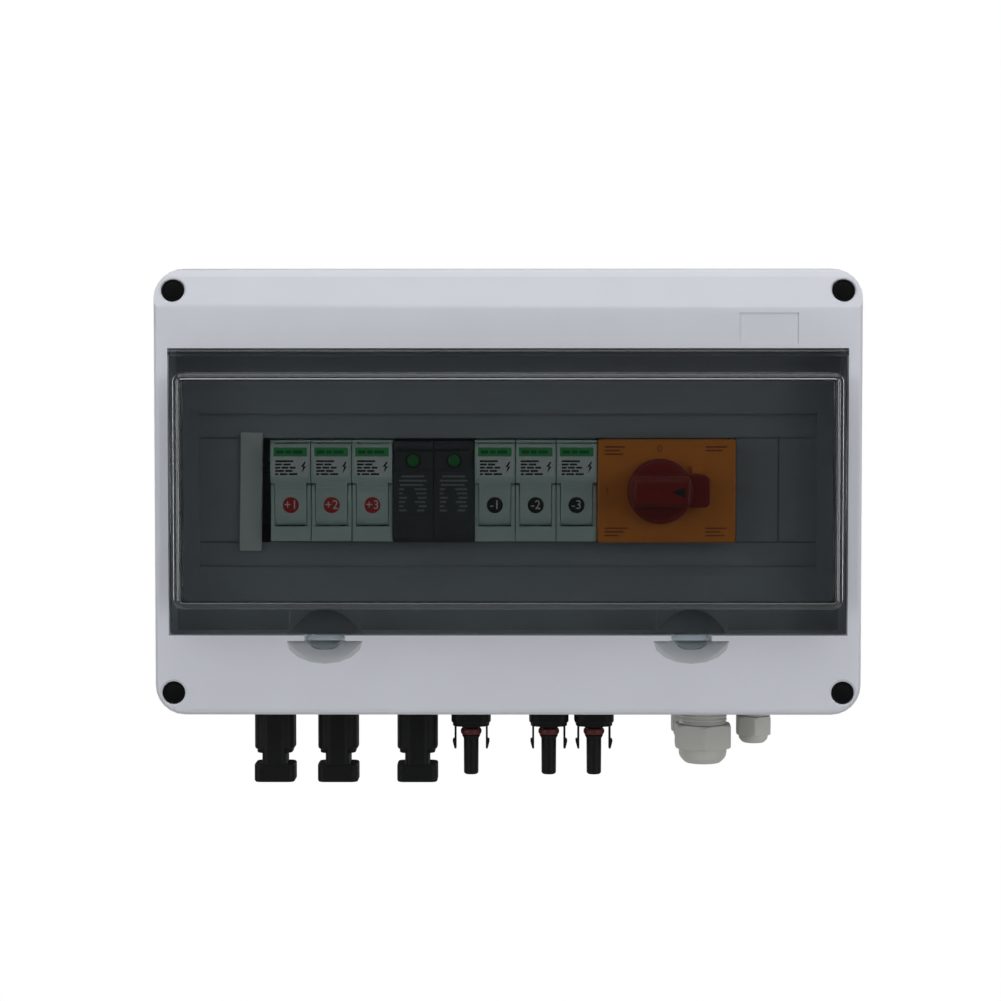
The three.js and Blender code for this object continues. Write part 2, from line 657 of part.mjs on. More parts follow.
const ISOLATOR = { half: 30.4, shoulder: 38, noseFront: 80 };
const SHAFT = { radius: 3.2, back: 60, front: 97 };

function isolatorBody() {
  const body = prism(
    deviceOutline(ISOLATOR.shoulder, BODY.nose, ISOLATOR.noseFront), -ISOLATOR.half, ISOLATOR.half);
  const cuts = [bar(KNOB.x - ISOLATOR_X, 0, SHAFT.back - GAP, 90, SHAFT.radius + 2 * GAP, 12)];
  for (const x of [-22.5, -7.5, 7.5, 22.5]) cuts.push(...terminalHoles(x, ISOLATOR.shoulder));
  return cut(body, cuts);
}

function isolatorPlate() {
  const plate = { back: 80.3, front: 83.6, halfHeight: 22.8, corner: 1.2 };
  const outline = centredRectangle(2 * ISOLATOR.half, 2 * plate.halfHeight, plate.corner);
  const lug = block(10.9, 15.8, plate.front - 1, plate.front + 2.2, 7.5, 11);
  const sheet = solid(softSlab(outline, plate.back, plate.front, 0.5, 1));
  const behind = block(-60, 60, 0, plate.back, -60, 60);
  const hole = bar(KNOB.x - ISOLATOR_X, 0, plate.back - 1, plate.front + 1, 5, 12);
  return cut(joined([sheet, lug]), [behind, hole]);
}

const LOCK_TAB = { slotHalf: 5.3, slotBack: 86, slotFront: 89, slotInner: 5, outer: 21.7, halfHeight: 7 };

function isolatorKnob() {
  const { radius, back, disc, front } = KNOB;
  const base = turnedFront([[0, back], [radius, back], [radius, disc - 1], [radius - 1, disc], [0, disc]], 28);
  const half = KNOB.bar / 2;
  const grip = prism(
    [[disc - 1, -half - 1.2], [front - 2, -half], [front, -half + 2], [front, half - 2],
      [front - 2, half], [disc - 1, half + 1.2]],
    -radius, radius);
  const round = bar(0, 0, disc - 1, front, radius - 0.4, 28);
  const bore = bar(0, 0, back - 1, SHAFT.front + GAP, SHAFT.radius + GAP, 12);
  const slot = block(
    LOCK_TAB.slotInner, radius + 2, LOCK_TAB.slotBack, LOCK_TAB.slotFront,
    -LOCK_TAB.slotHalf, LOCK_TAB.slotHalf);
  return cut(base.add(grip.intersect(round)), [bore, slot]);
}

function knobLockTab() {
  const outline = roundedRectangle(6, -LOCK_TAB.halfHeight, LOCK_TAB.halfHeight, 2.4, LOCK_TAB.outer - 6);
  const head = slab(outline, 84.3, 90.6).subtract(bar(0, 0, 80, 95, KNOB.radius + GAP, 28));
  const half = LOCK_TAB.slotHalf - GAP;
  const tongue = block(
    6, KNOB.radius + 2, LOCK_TAB.slotBack + GAP, LOCK_TAB.slotFront - GAP, -half, half);
  return head.add(tongue);
}

function blankingStrip() {
  const strip = { halfWidth: 4.85, top: 26.4, bottom: -26.4, back: PANEL.recess + GAP, front: 74.2 };
  const outline = roundedRectangle(strip.halfWidth, strip.bottom, strip.top, 0.6);
  const legs = [-1, 1].map((side) => {
    const inner = side * 19.4;
    const outer = side * 21.6;
    return block(-2.6, 2.6, 66, strip.back + 0.5, Math.min(inner, outer), Math.max(inner, outer));
  });
  return joined([slab(outline, strip.back, strip.front), ...legs]);
}

// Comb bar along the tops of three neighbouring holders, with a tine in each wire entry.
function busbar() {
  const reach = MODULE + 3.4;
  const top = BODY.halfHeight + GAP;
  const spine = block(-reach, reach, TERMINAL.depth - 3, TERMINAL.depth + 3, top, top + 1.6);
  const tines = [-MODULE, 0, MODULE].map((x) => block(
    x - 1.5, x + 1.5, TERMINAL.depth - 0.8, TERMINAL.depth + 0.8, top - 9, top + 1));
  return joined([spine, ...tines]);
}

function buildRailDevices() {
  place(group, 'din_rail', rail(), 'zinc');
  FUSE_X.forEach((x, i) => {
    const holder = subgroup(x);
    place(holder, `fuse_base_${i + 1}`, fuseBase(), 'device');
    place(holder, `fuse_carrier_${i + 1}`, fuseCarrier(), 'device');
    place(holder, `fuse_link_${i + 1}`, fuseLink(), 'ceramic', 0, LINK.depth, LINK.top);
  });
  const arrester = subgroup(SURGE_X);
  place(arrester, 'surge_base', surgeBase(), 'surge');
  [-1, 1].forEach((side, i) => {
    place(arrester, `surge_cartridge_${i + 1}`, surgeCartridge(side), 'surge', (side * MODULE) / 2);
  });
  const isolator = subgroup(ISOLATOR_X);
  place(isolator, 'isolator_body', isolatorBody(), 'surge');
  place(isolator, 'isolator_plate', isolatorPlate(), 'orange');
  const handle = subgroup(KNOB.x);
  place(handle, 'isolator_shaft', bar(0, 0, SHAFT.back, SHAFT.front, SHAFT.radius, 12), 'zinc');
  place(handle, 'isolator_knob', isolatorKnob(), 'red');
  place(handle, 'knob_lock_tab', knobLockTab(), 'red');
  const blank = subgroup(-114.2, 0, -0.6);
  const strip = place(blank, 'blanking_strip', blankingStrip(), 'blank');
  strip.rotation.y = THREE.MathUtils.degToRad(0.8);
  place(group, 'busbar_positive', busbar(), 'copper', FUSE_X[1]);
  place(group, 'busbar_negative', busbar(), 'copper', FUSE_X[4]);
}

// ---------------------------------------------------------------- connectors and glands

const SHANK = { radius: 6, top: -9.5 };

const SOCKET = {
  ringFlats: 17.6,
  ringEnd: 4,
  bodyTop: 3,
  bodyEnd: 25.6,
  waistEnd: 27.6,
  ribTop: 6,
  ribEnd: 33,
  mouthTop: 32.6,
  end: 41.1,
  lip: 5,
  bore: 3.9,
  boreTop: 12,
};

// Panel socket: a thread through the wall, a broad body, a waist with a latch window on each side
// and a block at the mouth.
function socketConnector() {
  const { ringEnd, bodyTop, bodyEnd, waistEnd, ribTop, ribEnd, mouthTop, end, lip, bore, boreTop } = SOCKET;
  const shank = turnedDown([[0, SHANK.top], [SHANK.radius, SHANK.top], [SHANK.radius, 1], [0, 1]], 12);
  const ring = column(hexagon(SOCKET.ringFlats, Math.PI / 6), GAP, ringEnd);
  const body = column(centredRectangle(18.8, 15, 5), bodyTop, bodyEnd, 1);
  const waist = column(centredRectangle(16.6, 13, 4), bodyEnd - 0.6, waistEnd, 1);
  const rib = column(centredRectangle(11.4, 16.4, 3), ribTop, ribEnd, 1);
  const mouth = column(centredRectangle(18.9, 14, 3), mouthTop, end, 1);
  const mouthRoom = turnedDown([[0, ribEnd - 1], [lip, ribEnd - 1], [lip, end + 1], [0, end + 1]], 12);
  const pinRoom = turnedDown([[0, boreTop], [bore, boreTop], [bore, ribEnd], [0, ribEnd]], 12);
  return cut(joined([shank, ring, body, waist, rib, mouth]), [mouthRoom, pinRoom]);
}

const PLUG_SEAL = { top: 16.6, bottom: 19.4, inner: 3.5, outer: 4.9 };
const PLUG_BODY = {
  bodyEnd: 13.6,
  rimEnd: 15.2,
  seatRadius: 4.2,
  sleeve: 3.4,
  tip: 38.1,
  bore: 1.6,
  boreTop: 24,
};

// Panel plug: a thread through the wall, a flange, a seal seat, a long nose and two latch arms.
function plugConnector() {
  const { bodyEnd, rimEnd, seatRadius, sleeve, tip, bore, boreTop } = PLUG_BODY;
  const body = column(centredRectangle(18.4, 15, 5), GAP, bodyEnd, 1);
  const rim = column(centredRectangle(17, 13.6, 4.4), bodyEnd - 0.6, rimEnd, 1);
  const seat = PLUG_SEAL.inner - GAP;
  const seatTop = PLUG_SEAL.top - GAP;
  const seatEnd = PLUG_SEAL.bottom + GAP;
  const nose = turnedDown([
    [0, SHANK.top], [SHANK.radius, SHANK.top], [SHANK.radius, bodyEnd - 1.6],
    [SHANK.radius - 0.4, rimEnd], [seatRadius, seatTop], [seat, seatTop], [seat, seatEnd],
    [seatRadius + 0.2, seatEnd], [sleeve + 0.1, seatEnd + 1.7], [sleeve, tip - 0.7],
    [sleeve - 0.6, tip], [bore, tip], [bore, boreTop], [0, boreTop],
  ], 12);
  const arm = { x: 7.3, half: 0.45, halfWidth: 2.4, end: 26, barbTop: 21.8, barbX: 8.6 };
  const arms = [-1, 1].map((side) => {
    const outline = new THREE.Shape([
      [arm.x - arm.half, 14], [arm.x - arm.half, arm.end], [arm.x + arm.half, arm.end],
      [arm.barbX, arm.barbTop + 0.9], [arm.barbX, arm.barbTop], [arm.x + arm.half, arm.barbTop - 0.4],
      [arm.x + arm.half, 14],
    ].map(([x, down]) => new THREE.Vector2(side * x, -down)));
    return slab(outline, -arm.halfWidth, arm.halfWidth);
  });
  return joined([body, rim, nose, ...arms]);
}

function plugSeal() {
  const { top, bottom, inner, outer } = PLUG_SEAL;
  return turnedDown([
    [inner, top], [outer - 0.7, top], [outer, (top + bottom) / 2], [outer - 0.7, bottom],
    [inner, bottom], [inner, top],
  ], 14);
}

// Gland body: a thread through the wall, a ringed collar and the thread that the dome nut runs on.
function glandBody({ shank, collar, flats, nutTop, nutEnd, bore }) {
  const threadRadius = flats / 2 - 2.4;
  const ringEnd = nutTop - GAP;
  return turnedDown([
    [bore, SHANK.top], [shank, SHANK.top], [shank, GAP], [collar + 1.2, GAP], [collar + 1.2, 4], [collar, 4.6],
    [collar, ringEnd], [threadRadius, ringEnd], [threadRadius, nutEnd - 2], [bore, nutEnd - 2],
    [bore, SHANK.top],
  ], ROUND);
}

// Dome nut: six flats above a smaller round dome with the cable's hole in its end.
function glandNut({ flats, nutTop, nutEnd, end, bore }) {
  const skin = flats / 2;
  const dome = skin - 1.35;
  const round = turnedDown([
    [0, nutTop], [skin * 1.12, nutTop], [skin * 1.12, nutEnd], [dome, nutEnd], [dome, end - 2.8],
    [dome - 1, end - 1], [dome - 3.2, end], [0, end],
  ], ROUND);
  const flatSides = column(hexagon(flats, Math.PI / 2), nutTop - 1, end + 1);
  const threadRoom = turnedDown([
    [0, nutTop - 1], [skin - 2.1, nutTop - 1], [skin - 2.1, nutEnd - 1.7], [bore, nutEnd + 1],
    [bore, end + 1], [0, end + 1],
  ], ROUND);
  return cut(round.intersect(flatSides), [threadRoom]);
}

function buildBottomFittings() {
  SOCKET_X.forEach((x, i) => {
    const fitting = subgroup(x, CONNECTOR_DEPTH, WALL_Z);
    place(fitting, `socket_connector_${i + 1}`, socketConnector(), 'black');
  });
  PLUG_X.forEach((x, i) => {
    const fitting = subgroup(x, CONNECTOR_DEPTH, WALL_Z);
    place(fitting, `plug_connector_${i + 1}`, plugConnector(), 'black');
    place(fitting, `plug_seal_${i + 1}`, plugSeal(), 'redSeal');
  });
  GLANDS.forEach((gland, i) => {
    const fitting = subgroup(gland.x, gland.depth, WALL_Z);
    place(fitting, `gland_body_${i + 1}`, glandBody(gland), 'gland');
    place(fitting, `gland_nut_${i + 1}`, glandNut(gland), 'gland');
  });
}

// ---------------------------------------------------------------- wiring

const WIRE_RADIUS = 2.2;

function wire(points) {
  const path = new THREE.CatmullRomCurve3(points.map(([x, depth, z]) => new THREE.Vector3(x, -depth, z)));
  const section = new THREE.Shape();
  section.absarc(0, 0, WIRE_RADIUS, 0, 2 * Math.PI);
  const geometry = new THREE.ExtrudeGeometry(section, { steps: 9, curveSegments: 4, extrudePath: path });
  return solid(geometry);
}

// Three leads from the connectors to the holders above them, gathered by one tie.
function loom(starts, ends) {
  const middle = ends[1];
  const tieZ = -64;
  const tieDepth = 40;
  const spread = 2 * WIRE_RADIUS + 0.2;
  const wires = starts.map((x, i) => wire([
    [x, CONNECTOR_DEPTH, WALL_Z + 9.8],
    [x, CONNECTOR_DEPTH + 1, WALL_Z + 16],
    [middle + (i - 1) * spread, tieDepth, tieZ],
    [ends[i], TERMINAL.depth, -52],
    [ends[i], TERMINAL.depth, -BODY.halfHeight + 6],
  ]));
  const tieOutline = centredRectangle(2 * spread + 2 * WIRE_RADIUS + 1.6, 2 * WIRE_RADIUS + 1.6, 2.4);
  const geometry = extruded(tieOutline, 4, 1);
  geometry.applyMatrix4(TO_DOWN).translate(middle, -tieDepth, tieZ + 2);
  return joined([...wires, solid(geometry)]);
}

function earthBar() {
  const { left, right, z, halfHeight, back, front } = EARTH_BAR;
  const body = block(left, right, back, front, z - halfHeight, z + halfHeight);
  const cuts = [-10, 0, 10].map((x) => bar((left + right) / 2 + x, z, 25, front + 1, 2, 12));
  return cut(body, cuts);
}

function buildWiring() {
  place(group, 'positive_loom', loom(SOCKET_X, FUSE_X.slice(0, 3)), 'redWire');
  place(group, 'negative_loom', loom(PLUG_X, FUSE_X.slice(3)), 'blackWire');
  place(group, 'earth_bar', earthBar(), 'brass');
}

buildEnclosure();
place(group, 'door', door(), 'smoke');
buildRailDevices();
buildBottomFittings();
buildWiring();

export default group;
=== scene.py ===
"""DC combiner box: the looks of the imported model.

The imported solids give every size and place. This script dresses the nodes whose shape is final and
builds finer surfaces for the others: the smoked door, the casing, the connectors and the glands, the
fuse holders and the isolator's handle. Lengths are written in millimetres and turned into metres once,
where points are placed. "Depth" is the distance from the wall, so a depth of 100 mm is y = -0.1 m.
"""
from __future__ import annotations

import json
import logging
import math
from dataclasses import dataclass, field
from enum import Enum
from typing import Any, Sequence

import bmesh
import bpy
import numpy as np
from mathutils import Euler, Matrix, Vector

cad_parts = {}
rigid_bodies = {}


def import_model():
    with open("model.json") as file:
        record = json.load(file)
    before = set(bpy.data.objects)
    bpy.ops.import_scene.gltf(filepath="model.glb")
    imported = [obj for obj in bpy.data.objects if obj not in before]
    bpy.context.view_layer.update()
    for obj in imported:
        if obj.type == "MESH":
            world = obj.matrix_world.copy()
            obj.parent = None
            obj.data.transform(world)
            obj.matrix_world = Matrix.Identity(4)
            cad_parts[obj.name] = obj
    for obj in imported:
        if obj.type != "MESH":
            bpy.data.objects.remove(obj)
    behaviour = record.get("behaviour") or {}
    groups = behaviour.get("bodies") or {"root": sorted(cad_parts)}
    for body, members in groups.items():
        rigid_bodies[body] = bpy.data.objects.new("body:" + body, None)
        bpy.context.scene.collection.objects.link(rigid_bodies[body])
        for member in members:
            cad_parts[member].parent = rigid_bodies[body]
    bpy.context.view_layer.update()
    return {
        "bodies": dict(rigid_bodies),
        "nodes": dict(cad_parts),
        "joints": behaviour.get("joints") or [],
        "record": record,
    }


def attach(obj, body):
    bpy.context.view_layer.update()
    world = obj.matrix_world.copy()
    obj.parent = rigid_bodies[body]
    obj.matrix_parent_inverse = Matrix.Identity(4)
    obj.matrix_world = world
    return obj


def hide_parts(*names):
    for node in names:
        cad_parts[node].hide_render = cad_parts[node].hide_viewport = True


LOG = logging.getLogger("combiner_box")
MM = 0.001  # metres in a millimetre
GAP = 0.3  # room left between two pieces, in millimetres
HUB = 0.01  # radius at which a turned profile starts and ends, so that its poles stay closed
MERGE = 2e-6  # corners nearer than this are one, in metres
FACET_ANGLE = math.radians(33.0)
COVER_ANGLE = math.radians(20.0)
ORIGIN = (0.0, 0.0, 0.0)
BOTTOM_WALL = -96.0  # underside of the box, where the connectors and glands leave it
INNER_FLOOR = 2.6  # how far the bottom wall's inside is above it
PRINT_DEPTH = 0.1  # how far a printed bar reaches into the face under it

Colour = tuple[float, float, float]
Point = Sequence[float]
Piece = bpy.types.Object


# ------------------------------------------------------------------ points and outlines


class Axis(Enum):
    """Directions along which a piece is turned or stacked: two across and one along."""

    FRONT = ((1.0, 0.0, 0.0), (0.0, 0.0, 1.0), (0.0, -1.0, 0.0))
    DOWN = ((1.0, 0.0, 0.0), (0.0, -1.0, 0.0), (0.0, 0.0, -1.0))
    ACROSS = ((0.0, 0.0, 1.0), (0.0, -1.0, 0.0), (1.0, 0.0, 0.0))
    SLOPE = ((1.0, 0.0, 0.0), (0.0, 0.394, 0.919), (0.0, -0.919, 0.394))


def at(x: Any, depth: Any, z: Any) -> np.ndarray:
    """Points in metres from places in millimetres: x, the distance from the wall, and height."""
    x, depth, z = np.broadcast_arrays(x, depth, z)
    return np.stack([x, -depth, z], axis=-1).astype(float) * MM


def fillet(points: Any, radius: float | Sequence[float], steps: int = 4) -> np.ndarray:
    """Rounds the inner corners of an open run of points, in any number of dimensions.

    Each corner becomes a parabola that starts one radius before it and ends one radius after it:
    (1 - t)^2 of the start, 2 t (1 - t) of the corner and t^2 of the end.

    Args:
        points: the run, one row a point.
        radius: how far from each corner its curve starts, one value or one a corner.
        steps: pieces in each curve.

    Returns:
        The rounded run.
    """
    run = np.asarray(points, float)
    before, corner, after = run[:-2], run[1:-1], run[2:]
    reach = np.broadcast_to(np.asarray(radius, float), (len(corner),))[:, None]
    back = before - corner
    ahead = after - corner
    back_length = np.maximum(np.linalg.norm(back, axis=1, keepdims=True), 1e-9)
    ahead_length = np.maximum(np.linalg.norm(ahead, axis=1, keepdims=True), 1e-9)
    start = corner + back * np.minimum(reach / back_length, 0.49)
    end = corner + ahead * np.minimum(reach / ahead_length, 0.49)
    t = np.linspace(0.0, 1.0, steps + 1)[None, :, None]
    curve = (1 - t) ** 2 * start[:, None] + 2 * t * (1 - t) * corner[:, None] + t**2 * end[:, None]
    return np.concatenate([run[:1], curve.reshape(-1, run.shape[1]), run[-1:]])


def rounded_outline(
    right: Any, top: Any, corner: Any, left: Any = None, bottom: Any = None, arc: int = 8,
) -> np.ndarray:
    """Closed outlines of rounded rectangles, one for each entry of the arrays given.

    Every outline has the same number of points, so that neighbouring ones can be joined: a quarter
    circle in each corner, joined by the straight sides.

    Args:
        right: reach to the right; the reach to the left is the same where left isn't given.
        top: reach upwards; the reach downwards is the same where bottom isn't given.
        corner: radius of the corners.
        left: place of the left side.
        bottom: place of the bottom side.
        arc: pieces in each quarter circle.

    Returns:
        Array of outlines by points by two.
    """
    right, top, corner = np.broadcast_arrays(
        np.atleast_1d(np.asarray(right, float)), np.asarray(top, float), np.asarray(corner, float))
    left = -right if left is None else np.broadcast_to(np.asarray(left, float), right.shape)
    bottom = -top if bottom is None else np.broadcast_to(np.asarray(bottom, float), right.shape)
    turn = np.linspace(0.0, math.pi / 2, arc + 1)
    centres = [
        (right - corner, bottom + corner),
        (right - corner, top - corner),
        (left + corner, top - corner),
        (left + corner, bottom + corner),
    ]
    arcs = []
    for quarter, (x, z) in enumerate(centres, -1):
        angle = quarter * math.pi / 2 + turn
        arcs.append(np.stack([
            x[:, None] + corner[:, None] * np.cos(angle), z[:, None] + corner[:, None] * np.sin(angle),
        ], axis=-1))
    return np.concatenate(arcs, axis=1)


def unit_circle(count: int) -> np.ndarray:
    """Evenly spaced points on a circle of radius one: the cosine and sine of each angle."""
    angle = np.linspace(0.0, 2 * math.pi, count, endpoint=False)
    return np.stack([np.cos(angle), np.sin(angle)], axis=-1)


def hexagon_radius(flats: float, count: int, turn: float) -> np.ndarray:
    """Radius of a hexagon at evenly spaced angles: half the flats over the cosine to the nearest flat."""
    angle = np.linspace(0.0, 2 * math.pi, count, endpoint=False) - turn
    sixth = math.pi / 3
    return flats / 2 / np.cos((angle % sixth) - sixth / 2)


def stacked(sections: np.ndarray, along: np.ndarray, centre: Point, axis: Axis) -> np.ndarray:
    """Rings in space from flat outlines: each lies across the axis, at its own distance along it.

    Args:
        sections: outlines by points by two, in millimetres.
        along: distance of each outline along the axis, in millimetres.
        centre: x, depth and height of the axis' start, in millimetres.
        axis: the direction of the stack.

    Returns:
        Rings by points by three, in metres.
    """
    first, second, onward = (np.array(direction) for direction in axis.value)
    points = sections[..., :1] * first + sections[..., 1:] * second
    return (points + np.asarray(along, float)[:, None, None] * onward) * MM + at(*centre)


# ------------------------------------------------------------------ meshes


def new_object(name: str, mesh: bpy.types.Mesh) -> Piece:
    """Links a mesh into the scene as an object that sits at the origin."""
    piece = bpy.data.objects.new(name, mesh)
    bpy.context.scene.collection.objects.link(piece)
    return piece


def shade(mesh: bpy.types.Mesh, sharp: float = FACET_ANGLE) -> None:
    """Shades a mesh smooth up to an angle."""
    mesh.shade_smooth()
    mesh.set_sharp_from_angle(angle=sharp)


def settle(mesh: bpy.types.Mesh) -> None:
    """Merges doubled corners, turns the faces outwards and shades them smooth up to an angle."""
    work = bmesh.new()
    work.from_mesh(mesh)
    bmesh.ops.remove_doubles(work, verts=work.verts, dist=1e-7)
    bmesh.ops.recalc_face_normals(work, faces=work.faces)
    work.to_mesh(mesh)
    work.free()
    shade(mesh)


def flatten(mesh: bpy.types.Mesh, angle: float, joined: bool = False) -> None:
    """Merges a mesh's doubled corners, and its neighbouring faces into flats.

    Args:
        mesh: the mesh, which is changed.
        angle: how many degrees neighbouring faces may lean and still count as one flat.
        joined: whether the mesh comes from a join, which leaves faces of no size to clear away.
    """
    work = bmesh.new()
    work.from_mesh(mesh)
    bmesh.ops.remove_doubles(work, verts=work.verts, dist=MERGE)
    if joined:
        bmesh.ops.dissolve_degenerate(work, edges=work.edges, dist=1e-5)
    bmesh.ops.dissolve_limit(
        work, angle_limit=math.radians(angle), verts=work.verts, edges=work.edges,
        use_dissolve_boundaries=False)
    work.to_mesh(mesh)
    work.free()
    shade(mesh)


def skin(name: str, rings: np.ndarray, closed: bool = False) -> Piece:
    """Surface over a stack of rings.

    Ring i and ring i + 1 are joined point by point with four-sided faces. The first and the last ring
    are filled, or joined to each other where the stack closes on itself.

    Args:
        name: name of the piece.
        rings: rings by points by three, in metres.
        closed: whether the last ring joins the first.

    Returns:
        The piece.
    """
    count, size, _ = rings.shape
    index = np.arange(count * size).reshape(count, size)
    low = index if closed else index[:-1]
    high = np.roll(index, -1, axis=0) if closed else index[1:]
    quads = np.stack([low, np.roll(low, -1, axis=1), np.roll(high, -1, axis=1), high], axis=-1)
    faces = quads.reshape(-1, 4).tolist()
    if not closed:
        faces += [index[0][::-1].tolist(), index[-1].tolist()]
    mesh = bpy.data.meshes.new(name)
    mesh.from_pydata(rings.reshape(-1, 3).tolist(), [], faces)
    settle(mesh)
    piece = new_object(name, mesh)
    even_out(piece)
    return piece


def turned(
    name: str, profile: Any, centre: Point, axis: Axis, count: int = 48, round_by: float = 0.0,
    closed: bool = False,
) -> Piece:
    """Turned piece: a profile of radius and distance along the axis, carried round the axis.

    Args:
        name: name of the piece.
        profile: rows of radius and distance, in millimetres.
        centre: x, depth and height of the axis' start.
        axis: direction of the axis.
        count: points round the axis.
        round_by: how much the profile's corners are rounded.
        closed: whether the profile's end joins its start, as it does round a bore.

    Returns:
        The piece.
    """
    run = fillet(profile, round_by, 3) if round_by else np.asarray(profile, float)
    rings = run[:, :1, None] * unit_circle(count)
    return skin(name, stacked(rings, run[:, 1], centre, axis), closed)


def lofted(name: str, sections: Any, centre: Point, axis: Axis, round_by: float) -> Piece:
    """Piece of rounded rectangular sections: rows of half width, half height, corner and distance.

    Args:
        name: name of the piece.
        sections: the rows, in millimetres.
        centre: x, depth and height of the axis' start.
        axis: direction of the stack.
        round_by: how much the run of sections is rounded at its corners.

    Returns:
        The piece.
    """
    run = fillet(sections, round_by)
    outlines = rounded_outline(run[:, 0], run[:, 1], run[:, 2])
    return skin(name, stacked(outlines, run[:, 3], centre, axis))


def prism(
    name: str, outline: Any, start: float, end: float, edge: float = 0.0, axis: Axis = Axis.FRONT,
) -> Piece:
    """Piece with one outline all along an axis through the origin, and softened edges.

    Args:
        name: name of the piece.
        outline: rows of two across-axis distances, in millimetres.
        start: where it begins along the axis.
        end: where it ends along the axis.
        edge: width of the softened edges; none where it is zero.
        axis: direction of the axis.

    Returns:
        The piece.
    """
    flat = np.asarray(outline, float)
    piece = skin(name, stacked(np.stack([flat, flat]), np.array([start, end]), ORIGIN, axis))
    if edge:
        soften(piece, edge)
    return piece


def soften(piece: Piece, width: float, steps: int = 2) -> None:
    """Adds rounded edges to a piece and lets the flats keep their own shading."""
    bevel = piece.modifiers.new("softened_edges", "BEVEL")
    bevel.width = width * MM
    bevel.segments = steps
    bevel.limit_method = "ANGLE"
    bevel.angle_limit = FACET_ANGLE
    bevel.use_clamp_overlap = True
    even_out(piece)


def even_out(piece: Piece) -> None:
    """Lets each flat keep its own shading up to its rounded edges, as the last modifier."""
    for old in [m for m in piece.modifiers if m.type == "WEIGHTED_NORMAL"]:
        piece.modifiers.remove(old)
    even = piece.modifiers.new("even_shading", "WEIGHTED_NORMAL")
    even.keep_sharp = True


def refined(node: Piece, name: str, width: float, steps: int = 2) -> Piece:
    """Copy of a CAD node with its triangles merged into flats and its edges softened."""
    mesh = node.data.copy()
    mesh.name = name
    mesh.materials.clear()
    flatten(mesh, 0.6)
    piece = new_object(name, mesh)
    soften(piece, width, steps)
    return piece


def fused(name: str, parts: Sequence[Piece], cuts: Sequence[Piece] = ()) -> Piece:
    """One closed piece from several that run into each other, less what the cuts take away.

    Args:
        name: name of the result.
        parts: pieces to join; the first one keeps its modifiers' result.
        cuts: pieces to take away.

    Returns:
        The joined piece.
    """
    whole = parts[0]
    for tool, operation in [(p, "UNION") for p in parts[1:]] + [(c, "DIFFERENCE") for c in cuts]:
        change = whole.modifiers.new("join", "BOOLEAN")
        change.operation = operation
        change.solver = "EXACT"
        change.object = tool
    view = bpy.context.evaluated_depsgraph_get()
    mesh = bpy.data.meshes.new_from_object(whole.evaluated_get(view))
    mesh.name = name
    for old in [*parts, *cuts]:
        bpy.data.objects.remove(old)
    flatten(mesh, 0.4, joined=True)
    piece = new_object(name, mesh)
    even_out(piece)
    return piece


def gathered(name: str, parts: Sequence[Piece]) -> Piece:
    """One object of several closed pieces that stay apart from each other."""
    view = bpy.context.evaluated_depsgraph_get()
    work = bmesh.new()
    for part in parts:
        shape = bpy.data.meshes.new_from_object(part.evaluated_get(view))
        work.from_mesh(shape)
        bpy.data.meshes.remove(shape)
    for part in parts:
        bpy.data.objects.remove(part)
    mesh = bpy.data.meshes.new(name)
    work.to_mesh(mesh)
    work.free()
    shade(mesh)
    return new_object(name, mesh)


def plate(
    name: str, left: float, right: float, back: float, front: float, bottom: float, top: float,
    edge: float = 0.0, corner: float = 0.05,
) -> Piece:
    """Flat block between two places on each of the three directions."""
    outline = rounded_outline(right, top, corner, left, bottom, arc=2)[0]
    return prism(name, outline, back, front, edge)


def bars(rows: Any, face: float, proud: float, half: float, corner: float) -> list[Piece]:
    """Printed bars on a face: rows of left end, right end and height, each a thin plate."""
    return [
        plate("bar", left, right, face - PRINT_DEPTH, face + proud, z - half, z + half, 0.0, corner)
        for left, right, z in rows]


def cross(x: float, z: float, reach: float, back: float, front: float, half: float = 0.45) -> list[Piece]:
    """Cutters for the cross recess of a screw's head."""
    return [
        plate("cross", x - wide, x + wide, back, front, z - high, z + high)
        for wide, high in ((reach, half), (half, reach))]


def tube(name: str, route: Any, radius: float, steps: int = 60, count: int = 18) -> Piece:
    """Wire: a circle carried along a smooth line through the route's points.

    The line is a Catmull-Rom spline: between two points it is the cubic that leaves each of them
    parallel to the line through its neighbours.

    Args:
        name: name of the piece.
        route: rows of x, depth and height in millimetres.
        radius: the wire's radius.
        steps: rings along the wire.
        count: points in each ring.

    Returns:
        The piece.
    """
    stops = np.asarray(route, float)
    padded = np.concatenate([[2 * stops[0] - stops[1]], stops, [2 * stops[-1] - stops[-2]]])
    place = np.linspace(0.0, len(stops) - 1 - 1e-9, steps)
    step = place.astype(int)
    t = (place - step)[:, None]
    p0, p1, p2, p3 = (padded[step + i] for i in range(4))
    line = 0.5 * (2 * p1 + (p2 - p0) * t + (2 * p0 - 5 * p1 + 4 * p2 - p3) * t**2
                  + (3 * p1 - p0 - 3 * p2 + p3) * t**3)
    line = at(line[:, 0], line[:, 1], line[:, 2])
    tangent = np.gradient(line, axis=0)
    tangent /= np.linalg.norm(tangent, axis=1, keepdims=True)
    side = np.cross(tangent, (0.0, 1.0, 0.0))
    side /= np.linalg.norm(side, axis=1, keepdims=True)
    other = np.cross(tangent, side)
    angle = np.linspace(0.0, 2 * math.pi, count, endpoint=False)[None, :, None]
    rings = line[:, None] + radius * MM * (np.cos(angle) * side[:, None] + np.sin(angle) * other[:, None])
    return skin(name, rings)


